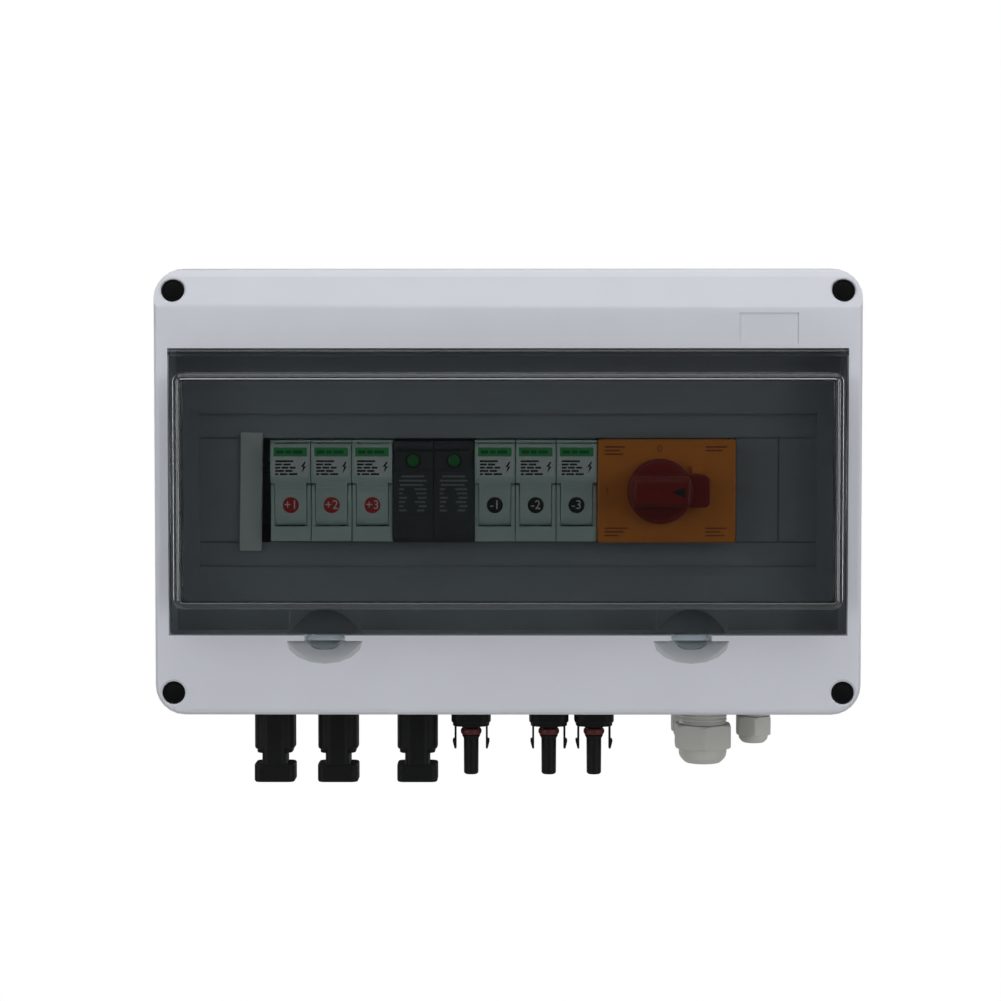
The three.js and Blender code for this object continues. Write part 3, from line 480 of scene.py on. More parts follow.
def lettering(name: str, text: str, height: float, x: float, depth: float, z: float) -> Piece:
    """Raised numbers or signs that face the front, centred on a place."""
    curve = bpy.data.curves.new(name, "FONT")
    curve.body = text
    curve.align_x = "CENTER"
    curve.align_y = "CENTER"
    curve.size = height * MM
    curve.extrude = 0.04 * MM
    curve.resolution_u = 3
    draft = bpy.data.objects.new(name, curve)
    bpy.context.scene.collection.objects.link(draft)
    view = bpy.context.evaluated_depsgraph_get()
    mesh = bpy.data.meshes.new_from_object(draft.evaluated_get(view))
    bpy.data.objects.remove(draft)
    mesh.transform(Euler((math.pi / 2, 0.0, 0.0)).to_matrix().to_4x4())
    mesh.transform(Matrix.Translation(Vector(at(x, depth, z))))
    settle(mesh)
    return new_object(name, mesh)


# ------------------------------------------------------------------ finishes


def tint(red: float, green: float, blue: float) -> Colour:
    """Linear colour from display values of 0 to 255: ((v + 0.055) / 1.055) to the power of 2.4."""
    share = np.array([red, green, blue]) / 255
    low = share / 12.92
    high = ((share + 0.055) / 1.055) ** 2.4
    return tuple(np.where(share <= 0.04045, low, high).tolist())


DUST = tint(190, 188, 182)


class Grain(Enum):
    """What a surface's fine relief looks like."""

    SPARK = "moulded_texture"
    BRUSHED = "drawn_texture"


class Tree:
    """Adds nodes to one node tree and joins them."""

    def __init__(self, tree: bpy.types.NodeTree) -> None:
        self.tree = tree

    def add(self, kind: str, inputs: dict[Any, Any] | None = None, **settings: Any) -> bpy.types.Node:
        """Adds a node, sets its options, and sets or joins its inputs.

        Args:
            kind: the node's type, without the word ShaderNode.
            inputs: a value or an output socket for each input, by name or number.
            settings: the node's own options.

        Returns:
            The node.
        """
        node = self.tree.nodes.new("ShaderNode" + kind)
        for key, value in settings.items():
            setattr(node, key, value)
        for key, value in (inputs or {}).items():
            if isinstance(value, bpy.types.NodeSocket):
                self.tree.links.new(value, node.inputs[key])
            else:
                node.inputs[key].default_value = value
        return node

    def maths(self, operation: str, first: Any, second: Any = 0.0, clamp: bool = False) -> Any:
        """One step of arithmetic on two values or sockets."""
        return self.add("Math", {0: first, 1: second}, operation=operation, use_clamp=clamp).outputs[0]


class SurfaceKit:
    """Node groups that several finishes share, each built once."""

    def __init__(self) -> None:
        self.groups = {
            Grain.SPARK: self._spark(),
            Grain.BRUSHED: self._brushed(),
        }
        self.dust = self._dust()
        self.made: dict[str, bpy.types.Material] = {}

    @staticmethod
    def _group(name: str, ins: dict[str, str], outs: dict[str, str]) -> tuple[Any, Tree, Any, Any]:
        """New group with its sockets, given as name to kind, and its two end nodes."""
        group = bpy.data.node_groups.new(name, "ShaderNodeTree")
        for label, kind in ins.items():
            group.interface.new_socket(name=label, in_out="INPUT", socket_type="NodeSocket" + kind)
        for label, kind in outs.items():
            group.interface.new_socket(name=label, in_out="OUTPUT", socket_type="NodeSocket" + kind)
        start = group.nodes.new("NodeGroupInput")
        end = group.nodes.new("NodeGroupOutput")
        return group, Tree(group), start.outputs, end.inputs

    def _surface(self, name: str, stretch: tuple[float, float, float]) -> bpy.types.NodeTree:
        """Colour clouds and a fine relief, the relief drawn out along the axes of small stretch.

        The colour is scaled by one plus the change times a slow noise from -1 to 1. The roughness is
        moved by a middling noise times the spread. The height is a fine noise.
        """
        group, tree, start, end = self._group(
            name,
            {"Place": "Vector", "Colour": "Color", "Change": "Float", "Grain": "Float",
             "Roughness": "Float", "Spread": "Float"},
            {"Colour": "Color", "Roughness": "Float", "Height": "Float"})
        clouds = tree.add("TexNoise", {"Vector": start["Place"], "Scale": 38.0, "Detail": 4.0})
        centred = tree.maths("SUBTRACT", clouds.outputs["Fac"], 0.5)
        swing = tree.maths("MULTIPLY", centred, tree.maths("MULTIPLY", start["Change"], 4.0))
        shade = tree.maths("ADD", swing, 1.0)
        scaled = tree.add("VectorMath", {0: start["Colour"], "Scale": shade}, operation="SCALE")
        drawn = tree.add("VectorMath", {0: start["Place"], 1: stretch}, operation="MULTIPLY")
        smudge = tree.add("TexNoise", {"Vector": drawn.outputs[0], "Scale": 210.0, "Detail": 3.0})
        moved = tree.maths("MULTIPLY", tree.maths("SUBTRACT", smudge.outputs["Fac"], 0.5), start["Spread"])
        rough = tree.maths("ADD", start["Roughness"], moved, clamp=True)
        fine = tree.add("TexNoise", {"Vector": drawn.outputs[0], "Scale": start["Grain"], "Detail": 2.0})
        group.links.new(scaled.outputs[0], end["Colour"])
        group.links.new(rough, end["Roughness"])
        group.links.new(fine.outputs["Fac"], end["Height"])
        return group

    def _spark(self) -> bpy.types.NodeTree:
        """Even texture of a moulded surface."""
        return self._surface(Grain.SPARK.value, (1.0, 1.0, 1.0))

    def _brushed(self) -> bpy.types.NodeTree:
        """Texture drawn out along the width of the box."""
        return self._surface(Grain.BRUSHED.value, (0.04, 1.0, 1.0))

    def _dust(self) -> bpy.types.NodeTree:
        """Pale dust on faces that look up: the mask is the upward share of the normal times a noise."""
        group, tree, start, end = self._group(
            "settled_dust",
            {"Place": "Vector", "Colour": "Color", "Dust": "Color", "Amount": "Float"},
            {"Colour": "Color", "Mask": "Float"})
        facing = tree.add("NewGeometry").outputs["Normal"]
        up = tree.add("SeparateXYZ", {0: facing}).outputs["Z"]
        above = tree.maths("MAXIMUM", up, 0.0)
        patches = tree.add("TexNoise", {"Vector": start["Place"], "Scale": 160.0, "Detail": 5.0})
        patchy = tree.maths("MULTIPLY", above, patches.outputs["Fac"])
        mask = tree.maths("MULTIPLY", patchy, start["Amount"])
        mixed = tree.add(
            "Mix", {0: mask, 6: start["Colour"], 7: start["Dust"]}, data_type="RGBA", blend_type="MIX")
        group.links.new(mixed.outputs[2], end["Colour"])
        group.links.new(mask, end["Mask"])
        return group

    def material(self, finish: "Finish") -> bpy.types.Material:
        """The finish's material, made the first time that it is asked for."""
        if finish.name not in self.made:
            self.made[finish.name] = finish.make(self)
        return self.made[finish.name]


@dataclass(frozen=True)
class Finish:
    """One finish of the object: its colour, its gloss and its fine relief."""

    name: str
    slot: str
    colour: Colour
    roughness: float = 0.45
    change: float = 0.06
    grain: float = 2200.0
    relief: float = 0.12
    spread: float = 0.12
    metallic: float = 0.0
    coat: float = 0.0
    specular: float = 0.5
    dust: float = 0.12
    texture: Grain = Grain.SPARK

    def _start(self) -> tuple[bpy.types.Material, Tree, Any]:
        """Empty material with its output node."""
        material = bpy.data.materials.new(self.name)
        material.use_nodes = True
        material.node_tree.nodes.clear()
        tree = Tree(material.node_tree)
        return material, tree, tree.add("OutputMaterial")

    def _surface(self, kit: SurfaceKit, tree: Tree, place: Any) -> bpy.types.Node:
        """Surface group with this finish's values."""
        return tree.add("Group", {
            "Place": place, "Colour": (*self.colour, 1.0), "Change": self.change, "Grain": self.grain,
            "Roughness": self.roughness, "Spread": self.spread,
        }, node_tree=kit.groups[self.texture])

    def _shader(self, kit: SurfaceKit, tree: Tree) -> bpy.types.Node:
        """Principled shader fed by the surface group, the dust group and a bump."""
        place = tree.add("TexCoord").outputs["Object"]
        surface = self._surface(kit, tree, place)
        dusted = tree.add("Group", {
            "Place": place, "Colour": surface.outputs["Colour"], "Dust": (*DUST, 1.0), "Amount": self.dust,
        }, node_tree=kit.dust)
        bump = tree.add(
            "Bump", {"Strength": self.relief, "Distance": 0.0002, "Height": surface.outputs["Height"]})
        return tree.add("BsdfPrincipled", {
            "Base Color": dusted.outputs["Colour"], "Roughness": surface.outputs["Roughness"],
            "Metallic": self.metallic, "Specular IOR Level": self.specular,
            "Coat Weight": self.coat, "Coat Roughness": 0.12, "Normal": bump.outputs["Normal"],
        })

    def make(self, kit: SurfaceKit) -> bpy.types.Material:
        """The finished material."""
        material, tree, out = self._start()
        shader = self._shader(kit, tree)
        tree.tree.links.new(shader.outputs[0], out.inputs["Surface"])
        return material


@dataclass(frozen=True)
class SmokedFinish(Finish):
    """Clear tinted plastic: refracts what is behind it and lets a tinted part of the light through."""

    passed: Colour = (0.4, 0.45, 0.45)
    ior: float = 1.49

    def make(self, kit: SurfaceKit) -> bpy.types.Material:
        """The material: a transmitting shader, and a plain tinted filter for the light's own rays."""
        material, tree, out = self._start()
        surface = self._surface(kit, tree, tree.add("TexCoord").outputs["Object"])
        clear = tree.add("BsdfPrincipled", {
            "Base Color": surface.outputs["Colour"], "Roughness": surface.outputs["Roughness"],
            "Transmission Weight": 1.0, "IOR": self.ior,
        })
        filtered = tree.add("BsdfTransparent", {"Color": (*self.passed, 1.0)})
        light = tree.add("LightPath").outputs["Is Shadow Ray"]
        chosen = tree.add("MixShader", {0: light, 1: clear.outputs[0], 2: filtered.outputs[0]})
        tree.tree.links.new(chosen.outputs[0], out.inputs["Surface"])
        return material


SHELL = Finish("shell_grey", "shell_grey", tint(207, 209, 217), 0.5, 0.02, 3200.0, 0.16, 0.08)
# The shell's own grey painted darker: painted shade for the deep recess behind the door, the finger bowls and
# the scoop hoods.
PANEL_PAINTED_SHADE = Finish("panel_painted_shade", "shell_grey", tint(172, 175, 180), 0.5, 0.02, 3200.0, 0.16, 0.08)
SEAL = Finish("black_rubber", "black_rubber", tint(36, 36, 37), 0.8, 0.1, 1500.0, 0.3, 0.1, specular=0.3)
SMOKE = SmokedFinish(
    "smoked_clear", "smoked_clear", (0.30, 0.318, 0.318), 0.02, 0.015, 900.0, 0.0, 0.02,
    passed=(0.56, 0.58, 0.58))
SMOKE_THIN = SmokedFinish(
    "smoked_thin", "smoked_clear", (0.62, 0.66, 0.66), 0.05, 0.015, 900.0, 0.0, 0.03,
    passed=(0.82, 0.85, 0.86))
BLANK = Finish("blank_grey", "blank_grey", tint(236, 238, 236), 0.5, 0.03, 2600.0, 0.14)
ZINC = Finish("zinc_steel", "zinc_steel", tint(205, 207, 208), 0.3, 0.06, 1400.0, 0.2, 0.25, 1.0,
              texture=Grain.BRUSHED)
PLUG = Finish("plug_black", "plug_black", tint(6, 7, 7), 0.7, 0.08, 2400.0, 0.2, specular=0.1, dust=0.01)
DEVICE = Finish("device_pale", "device_pale", tint(216, 234, 228), 0.46, 0.03, 2600.0, 0.16)
CERAMIC = Finish("fuse_ceramic", "fuse_ceramic", tint(232, 228, 218), 0.4, 0.05, 1200.0, 0.1, coat=0.3)
CAP = Finish("fuse_cap", "zinc_steel", tint(200, 198, 190), 0.28, 0.05, 1200.0, 0.1, 0.2, 1.0)
DARK = Finish("device_dark", "device_dark", tint(70, 74, 75), 0.48, 0.06, 2400.0, 0.18, dust=0.05)
ORANGE = Finish("plate_orange", "plate_orange", tint(252, 146, 48), 0.42, 0.03, 2400.0, 0.14)
RED = Finish("knob_red", "knob_red", tint(154, 30, 27), 0.34, 0.05, 1800.0, 0.1, coat=0.2)
CONNECTOR = Finish(
    "connector_black", "connector_black", tint(11, 13, 12), 0.55, 0.1, 2000.0, 0.25, specular=0.2,
    dust=0.015)
RING = Finish("seal_red", "seal_red", tint(84, 19, 17), 0.5, 0.08, 1200.0, 0.12, specular=0.4)
GLAND = Finish("gland_grey", "gland_grey", tint(190, 190, 184), 0.5, 0.04, 2000.0, 0.2)
COPPER = Finish("copper_bar", "copper_bar", tint(214, 138, 104), 0.28, 0.08, 900.0, 0.15, 0.25, 1.0,
                texture=Grain.BRUSHED)
BRASS = Finish("brass_bar", "brass_bar", tint(214, 184, 112), 0.28, 0.06, 900.0, 0.15, 0.25, 1.0,
               texture=Grain.BRUSHED)
WIRE_RED = Finish("wire_red", "wire_red", tint(160, 30, 28), 0.4, 0.06, 800.0, 0.08)
WIRE_BLACK = Finish("wire_black", "wire_black", tint(36, 36, 37), 0.4, 0.06, 800.0, 0.08)
GREEN = Finish("print_green", "device_pale", tint(66, 184, 108), 0.5, 0.03, 2600.0, 0.05)
GREEN_DARK = Finish("print_green_dark", "device_pale", tint(34, 116, 62), 0.5, 0.03, 2600.0, 0.05)
WINDOW_GREEN = Finish("flag_green", "device_dark", tint(36, 132, 62), 0.25, 0.03, 900.0, 0.05, coat=0.5)
WHITE = Finish("print_white", "device_pale", tint(240, 244, 241), 0.55, 0.02, 2600.0, 0.04)
PRINT_GREY = Finish("print_grey", "device_dark", tint(138, 142, 142), 0.55, 0.03, 2600.0, 0.04)
BLACK = Finish("print_black", "device_dark", tint(26, 28, 28), 0.55, 0.04, 2600.0, 0.04)
PRINT_ORANGE = Finish("print_orange", "plate_orange", tint(158, 84, 26), 0.5, 0.03, 2600.0, 0.05)
MARK_RED = Finish("mark_red", "knob_red", tint(206, 44, 42), 0.5, 0.03, 2600.0, 0.05)


# ------------------------------------------------------------------ the workshop


@dataclass
class Workshop:
    """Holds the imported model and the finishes, and files each finished piece under its body."""

    frame: dict[str, Any]
    kit: SurfaceKit = field(default_factory=SurfaceKit)

    def copy(self, node: str, name: str, width: float, steps: int = 2) -> Piece:
        """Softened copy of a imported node."""
        return refined(self.frame["nodes"][node], name, width, steps)

    def dress(self, piece: Piece, body: str, finish: Finish, *nodes: str) -> Piece:
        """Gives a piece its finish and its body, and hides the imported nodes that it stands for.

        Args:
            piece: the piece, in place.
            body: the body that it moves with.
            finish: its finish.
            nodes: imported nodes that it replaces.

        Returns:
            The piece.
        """
        piece.data.materials.clear()
        piece.data.materials.append(self.kit.material(finish))
        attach(piece, body)
        if nodes:
            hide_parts(*nodes)
        LOG.info("%s: %s on %s", piece.name, finish.name, body)
        return piece

    def polish(
        self, node: str, body: str, finish: Finish, width: float, steps: int = 2,
    ) -> Piece:
        """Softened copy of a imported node, dressed, in the node's place."""
        piece = self.copy(node, node + "_finished", width, steps)
        return self.dress(piece, body, finish, node)


# ------------------------------------------------------------------ casing


@dataclass
class Casing:
    """Base shell, front cover, their seal, the cover screws and the plugs over them."""

    screw_x: float = 145.2
    screw_z: float = 87.2
    boss_floor: float = 63.8
    plug_radius: float = 4.8
    plug_fronts: tuple[float, float] = (97.1, 99.8)
    slope_depth: float = 96.61
    tab_x: float = 79.5
    scoop: tuple[float, float, float] = (16.5, 9.5, 9.9)
    scoop_top: float = -64.6
    front: float = 100.0
    hood: tuple[float, float, float] = (17.0, 9.5, 12.0)
    hood_wall: float = 1.0
    hood_front: float = 96.9
    hood_low: float = -62.1
    window: tuple[float, float, float] = (146.7, 60.0, -61.9)
    fade: float = 1.3
    panel: float = 73.0
    scores: tuple[tuple[float, ...], ...] = (
        (-137.4, 137.4, -33.9, 0.4, 71.2),
        (-137.0, -118.5, -23.2, 0.3, 70.6), (-137.0, -118.5, 23.2, 0.3, 70.6),
        (100.0, 137.0, -23.2, 0.3, 70.6), (100.0, 137.0, 23.2, 0.3, 70.6))
    head: tuple[float, float, float] = (4.2, 66.1, 67.0)

    def _filler(self, side: int) -> Piece:
        """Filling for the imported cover's pocket: an ellipsoid's lower half, as rings along its width.

        At each place x the ring is an ellipse scaled by the square root of one less (x / reach) squared.
        """
        reach, deep, high = (size + 1.0 for size in self.scoop)
        front = self.front - 0.05
        turn = np.linspace(-math.pi / 2, math.pi / 2, 41)
        size = np.maximum(np.cos(turn), 0.01)[:, None]
        around = np.linspace(math.pi, 2 * math.pi, 33)
        depth = np.minimum(front + deep * size * np.cos(around), front)
        z = self.scoop_top - 0.05 + high * size * np.sin(around)
        x = side * self.tab_x + reach * np.sin(turn)[:, None]
        return skin("bowl_filler", at(x, depth, z))

    def _bowl(self, side: int) -> Piece:
        """Cutter for the bowl under a door tab: pointed at both ends, and faded out along its lower edge.

        At each place x it is scaled by one less (x / reach) squared. From its flat top down, the depth
        is one less the share of the way down, to the power of the fade.
        """
        reach, deep, high = self.scoop
        across = np.linspace(-1.0, 1.0, 49)[:, None]
        size = np.maximum(1 - across**2, 0.012)
        share = np.linspace(0.0, 1.0, 21)
        depth = self.front + 0.02 - deep * size * (1 - share) ** self.fade
        z = self.scoop_top - high * size * share
        outside = np.full_like(depth, self.front + 0.6)
        x = side * self.tab_x + reach * across
        ring = at(x, np.concatenate([depth, outside], 1), np.concatenate([z, z[:, ::-1]], 1))
        return skin("bowl", ring)

    def _rim(self, side_x: int, side_z: int) -> Piece:
        """Cutter for the countersunk rim of a screw hole, square to the face that the hole is in."""
        upper = side_z > 0
        place = (side_x * self.screw_x, self.slope_depth if upper else self.front, side_z * self.screw_z)
        axis = Axis.SLOPE if upper else Axis.FRONT
        return turned("rim", [
            (HUB, -0.9), (4.9, -0.9), (5.15, -0.55), (5.75, -0.12), (6.1, 0.05), (6.1, 0.6), (HUB, 0.6),
        ], place, axis, 64)

    def _cover(self, shop: Workshop) -> None:
        """The front cover, with smooth bowls under the door's tabs."""
        cover = shop.copy("front_cover", "cover_draft", 0.35)
        cover.modifiers.clear()
        fillers = [self._filler(side) for side in (-1, 1)]
        bowls = [self._bowl(side) for side in (-1, 1)]
        rims = [self._rim(side_x, side_z) for side_x in (-1, 1) for side_z in (-1, 1)]
        scores = [
            plate("score", start, end, back, self.panel, z - half, z + half)
            for start, end, z, half, back in self.scores]
        cover = fused("front_cover_finished", [cover, *fillers], [*bowls, *rims, *scores])
        cover.data.set_sharp_from_angle(angle=COVER_ANGLE)
        soften(cover, 0.45, 3)
        shop.dress(cover, "enclosure", SHELL, "front_cover")
        self._paint_recess_shade(shop, cover.data)

    def _paint_recess_shade(self, shop: Workshop, mesh: bpy.types.Mesh) -> None:
        """Gives the faces inside the cover's window, and those of the bowls, a darker grey as painted shade.
        """
        middles = np.empty(len(mesh.polygons) * 3)
        mesh.polygons.foreach_get("center", middles)
        x, y, z = middles.reshape(-1, 3).T / MM
        half, top, bottom = self.window
        inside = (np.abs(x) < half) & (z < top) & (z > bottom) & (-y < self.hood_front + 0.6)
        reach, deep, high = self.scoop
        low = self.scoop_top - high
        bowl = (np.abs(np.abs(x) - self.tab_x) < reach) & (z > low) & (z < self.scoop_top + 0.1)
        inside |= bowl & (-y < self.front - 0.05) & (-y > self.front - deep - 0.1)
        # The second material, a darker grey, is painted shade on the recess and the bowls.
        mesh.materials.append(shop.kit.material(PANEL_PAINTED_SHADE))
        mesh.polygons.foreach_set("material_index", inside.astype(np.int32))

    def _hood(self, shop: Workshop, side: int, word: str) -> None:
        """Upper part of a finger scoop, behind the door's rim: a quarter of an ellipsoid with a thin wall.

        At each place x the ring is a quarter ellipse scaled by one less (x / reach) squared, out along
        the outer face and back along the inner one.
        """
        reach, deep, high = self.hood
        across = np.linspace(-1.0, 1.0, 41)[:, None]
        size = np.maximum(1 - across**2, 0.02)
        sweep = np.linspace(0.0, math.pi / 2, 17)
        wall = self.hood_wall
        outer = np.stack(np.broadcast_arrays(deep * size * np.sin(sweep), high * size * np.cos(sweep)), -1)
        inner = outer * np.maximum(1 - wall / np.linalg.norm(outer, axis=-1, keepdims=True), 0.05)
        ring = np.concatenate([outer, inner[:, ::-1]], axis=1)
        x = side * self.tab_x + reach * across
        rings = at(x, self.hood_front - ring[..., 0], self.hood_low + ring[..., 1])
        # The hood gets the darker grey as painted shade: the scoop's upper half faces down, away from the
        # light.
        shop.dress(skin(f"scoop_hood_{word}", rings), "enclosure", PANEL_PAINTED_SHADE)

    def build(self, shop: Workshop) -> None:
        """Builds and dresses the casing."""
        self._hood(shop, -1, "left")
        self._hood(shop, 1, "right")
        shop.polish("base_shell", "enclosure", SHELL, 0.5)
        shop.polish("cover_seal", "enclosure", SEAL, 0.3)
        self._cover(shop)
        corners = [(-1, 1), (1, 1), (-1, -1), (1, -1)]
        for i, (side_x, side_z) in enumerate(corners, 1):
            place = (side_x * self.screw_x, 0.0, side_z * self.screw_z)
            self._plug(shop, i, place, self.plug_fronts[0] if side_z > 0 else self.plug_fronts[1])
            self._screw(shop, i, place)

    def _plug(self, shop: Workshop, i: int, place: tuple[float, float, float], front: float) -> None:
        """Push-in plug with a domed end and a shallow ring round its edge."""
        r = self.plug_radius
        profile = [
            (HUB, -7), (r - 0.6, -7), (r, -6), (r, -0.9), (r - 0.5, -0.45), (r - 1.0, -0.7), (r - 1.3, -0.7),
            (r - 1.6, -0.3), (1.2, 0.0), (HUB, 0.0)]
        profile = [(radius, front + along) for radius, along in profile]
        piece = turned(f"screw_plug_{i}_finished", profile, place, Axis.FRONT, 56, 0.35)
        shop.dress(piece, "enclosure", PLUG, f"screw_plug_{i}")

    def _screw(self, shop: Workshop, i: int, place: tuple[float, float, float]) -> None:
        """Cover screw with a round head and a cross recess."""
        back = self.boss_floor + GAP
        wide, shoulder, top = self.head
        profile = [
            (HUB, 34.0), (1.2, 34.0), (1.9, 35.6), (1.9, back), (wide, back), (wide, shoulder), (2.8, top),
            (HUB, top)]
        head = turned("screw_head", profile, place, Axis.FRONT, 32, 0.3)
        piece = fused(f"cover_screw_{i}_finished", [head], cross(place[0], place[2], 2.2, 65.6, 68.0))
        shop.dress(piece, "enclosure", ZINC, f"cover_screw_{i}")


# ------------------------------------------------------------------ door


@dataclass
class SmokedDoor:
    """The smoked door: a flat rim, a raised hollow pillow, a hinge barrel along its top and two tabs."""

    half: float = 146.6
    top: float = 60.0
    bottom: float = -61.8
    back: float = 97.4
    front: float = 99.7
    pillow: tuple[float, float, float] = (143.0, 51.2, -49.8)
    pillow_front: float = 115.0
    edge: float = 3.0
    wall: float = 2.3
    corner: float = 4.0
    hinge: tuple[float, float] = (98.6, 60.0)
    barrel: float = 1.9
    pin: float = 0.9
    tab_x: float = 79.5
    tab: tuple[float, float, float] = (8.5, 4.75, -68.5)
    pad: tuple[float, float, float] = (15.3, -61.1, -50.8)

    def _shell(self) -> Piece:
        """Rim and pillow as one run of rounded rectangles.

        The run goes from the middle of the hollow's ceiling down its wall, out along the rim's back,
        round the rim's edge, in along its front, and up the pillow to the middle of its face. Each row
        is the outline's inset from the pillow's outline, the depth, and for the rim its own outline.
        """
        half, top, bottom = self.pillow
        ceiling = self.pillow_front - self.wall
        inner = self.wall
        middle = 20.0
        turn = np.linspace(0.0, math.pi / 2, 9)
        inner_edge = 1.4
        shrink = 1 - np.cos(turn)
        drop = 1 - np.sin(turn)
        up = np.stack([inner + inner_edge * shrink, ceiling - inner_edge * drop], -1)[::-1]
        over = np.stack([self.edge * shrink, self.pillow_front - self.edge * drop], -1)
        cove = 0.6
        rows = [(middle, ceiling, 0.0), *((a, d, 0.0) for a, d in up), (inner, self.back + 0.3, 0.0),
                (inner - 0.3, self.back, 0.0)]
        rim = [(0.4, self.back, 1.0), (0.0, self.back + 0.4, 1.0), (0.0, self.front - 0.4, 1.0),
               (0.4, self.front, 1.0)]
        rise = [(-cove, self.front, 0.0), (-0.2, self.front + 0.2, 0.0), (0.0, self.front + cove, 0.0),
                *((a, d, 0.0) for a, d in over), (middle, self.pillow_front, 0.0)]
        run = np.array([*rows, *rim, *rise])
        inset, depth, is_rim = run.T
        right = np.where(is_rim > 0, self.half, half) - inset
        high = np.where(is_rim > 0, self.top, top) - inset
        low = np.where(is_rim > 0, self.bottom, bottom) + inset
        corner = np.where(is_rim > 0, 1.2, np.maximum(self.corner - inset, 0.8))
        outlines = rounded_outline(right, high, corner, -right, low, arc=8)
        return skin("door_shell", stacked(outlines, depth, ORIGIN, Axis.FRONT))

    def _tab(self, side: int, name: str) -> Piece:
        """Finger tab under the rim, thinner than the rim and narrower at its end, with a raised edge."""
        x = side * self.tab_x
        wide, narrow, end = self.tab
        root = self.bottom - 0.02
        shoulder = self.bottom - 2.4
        outline = fillet([
            (x - wide + 1.4, root), (x - wide, root - 0.9), (x - wide, shoulder), (x - narrow, end),
            (x + narrow, end), (x + wide, shoulder), (x + wide, root - 0.9), (x + wide - 1.4, root)],
            (0.5, 0.9, 3.0, 3.0, 0.9, 0.5), 5)
        centre = np.array([x, (root + end) / 2])
        shrink = np.array([[1.0], [1.0], [0.97], [0.9], [0.86]])[..., None]
        face = self.front - 0.05
        depths = np.array([self.back + 0.3, self.front - 0.35, face, face, self.front - 0.6])
        sections = centre + (outline - centre) * shrink
        return skin(name, stacked(sections, depths, ORIGIN, Axis.FRONT))

    def build(self, shop: Workshop) -> None:
        """Builds and dresses the door."""
        depth, z = self.hinge
        reach = self.half + 2.6
        line = (0.0, depth, z)
        end = self.half - 0.2
        barrel = turned("door_barrel", [
            (HUB, -reach), (self.pin, -reach), (self.pin, -end), (self.barrel, -end), (self.barrel, end),
            (self.pin, end), (self.pin, reach), (HUB, reach),
        ], line, Axis.ACROSS, 32, 0.15)
        wide, low, high = self.pad
        pads = [
            plate("pad", x - wide, x + wide, self.front - 0.45, self.front + 2.0, low, high, 0.3, 1.2)
            for x in (-self.tab_x, self.tab_x)]
        door = fused("door_finished", [self._shell(), barrel], pads)
        shop.dress(door, "door", SMOKE, "door")
        for side, word in ((-1, "left"), (1, "right")):
            shop.dress(self._tab(side, f"door_tab_{word}"), "door", SMOKE_THIN)


# ------------------------------------------------------------------ what stands on the rail


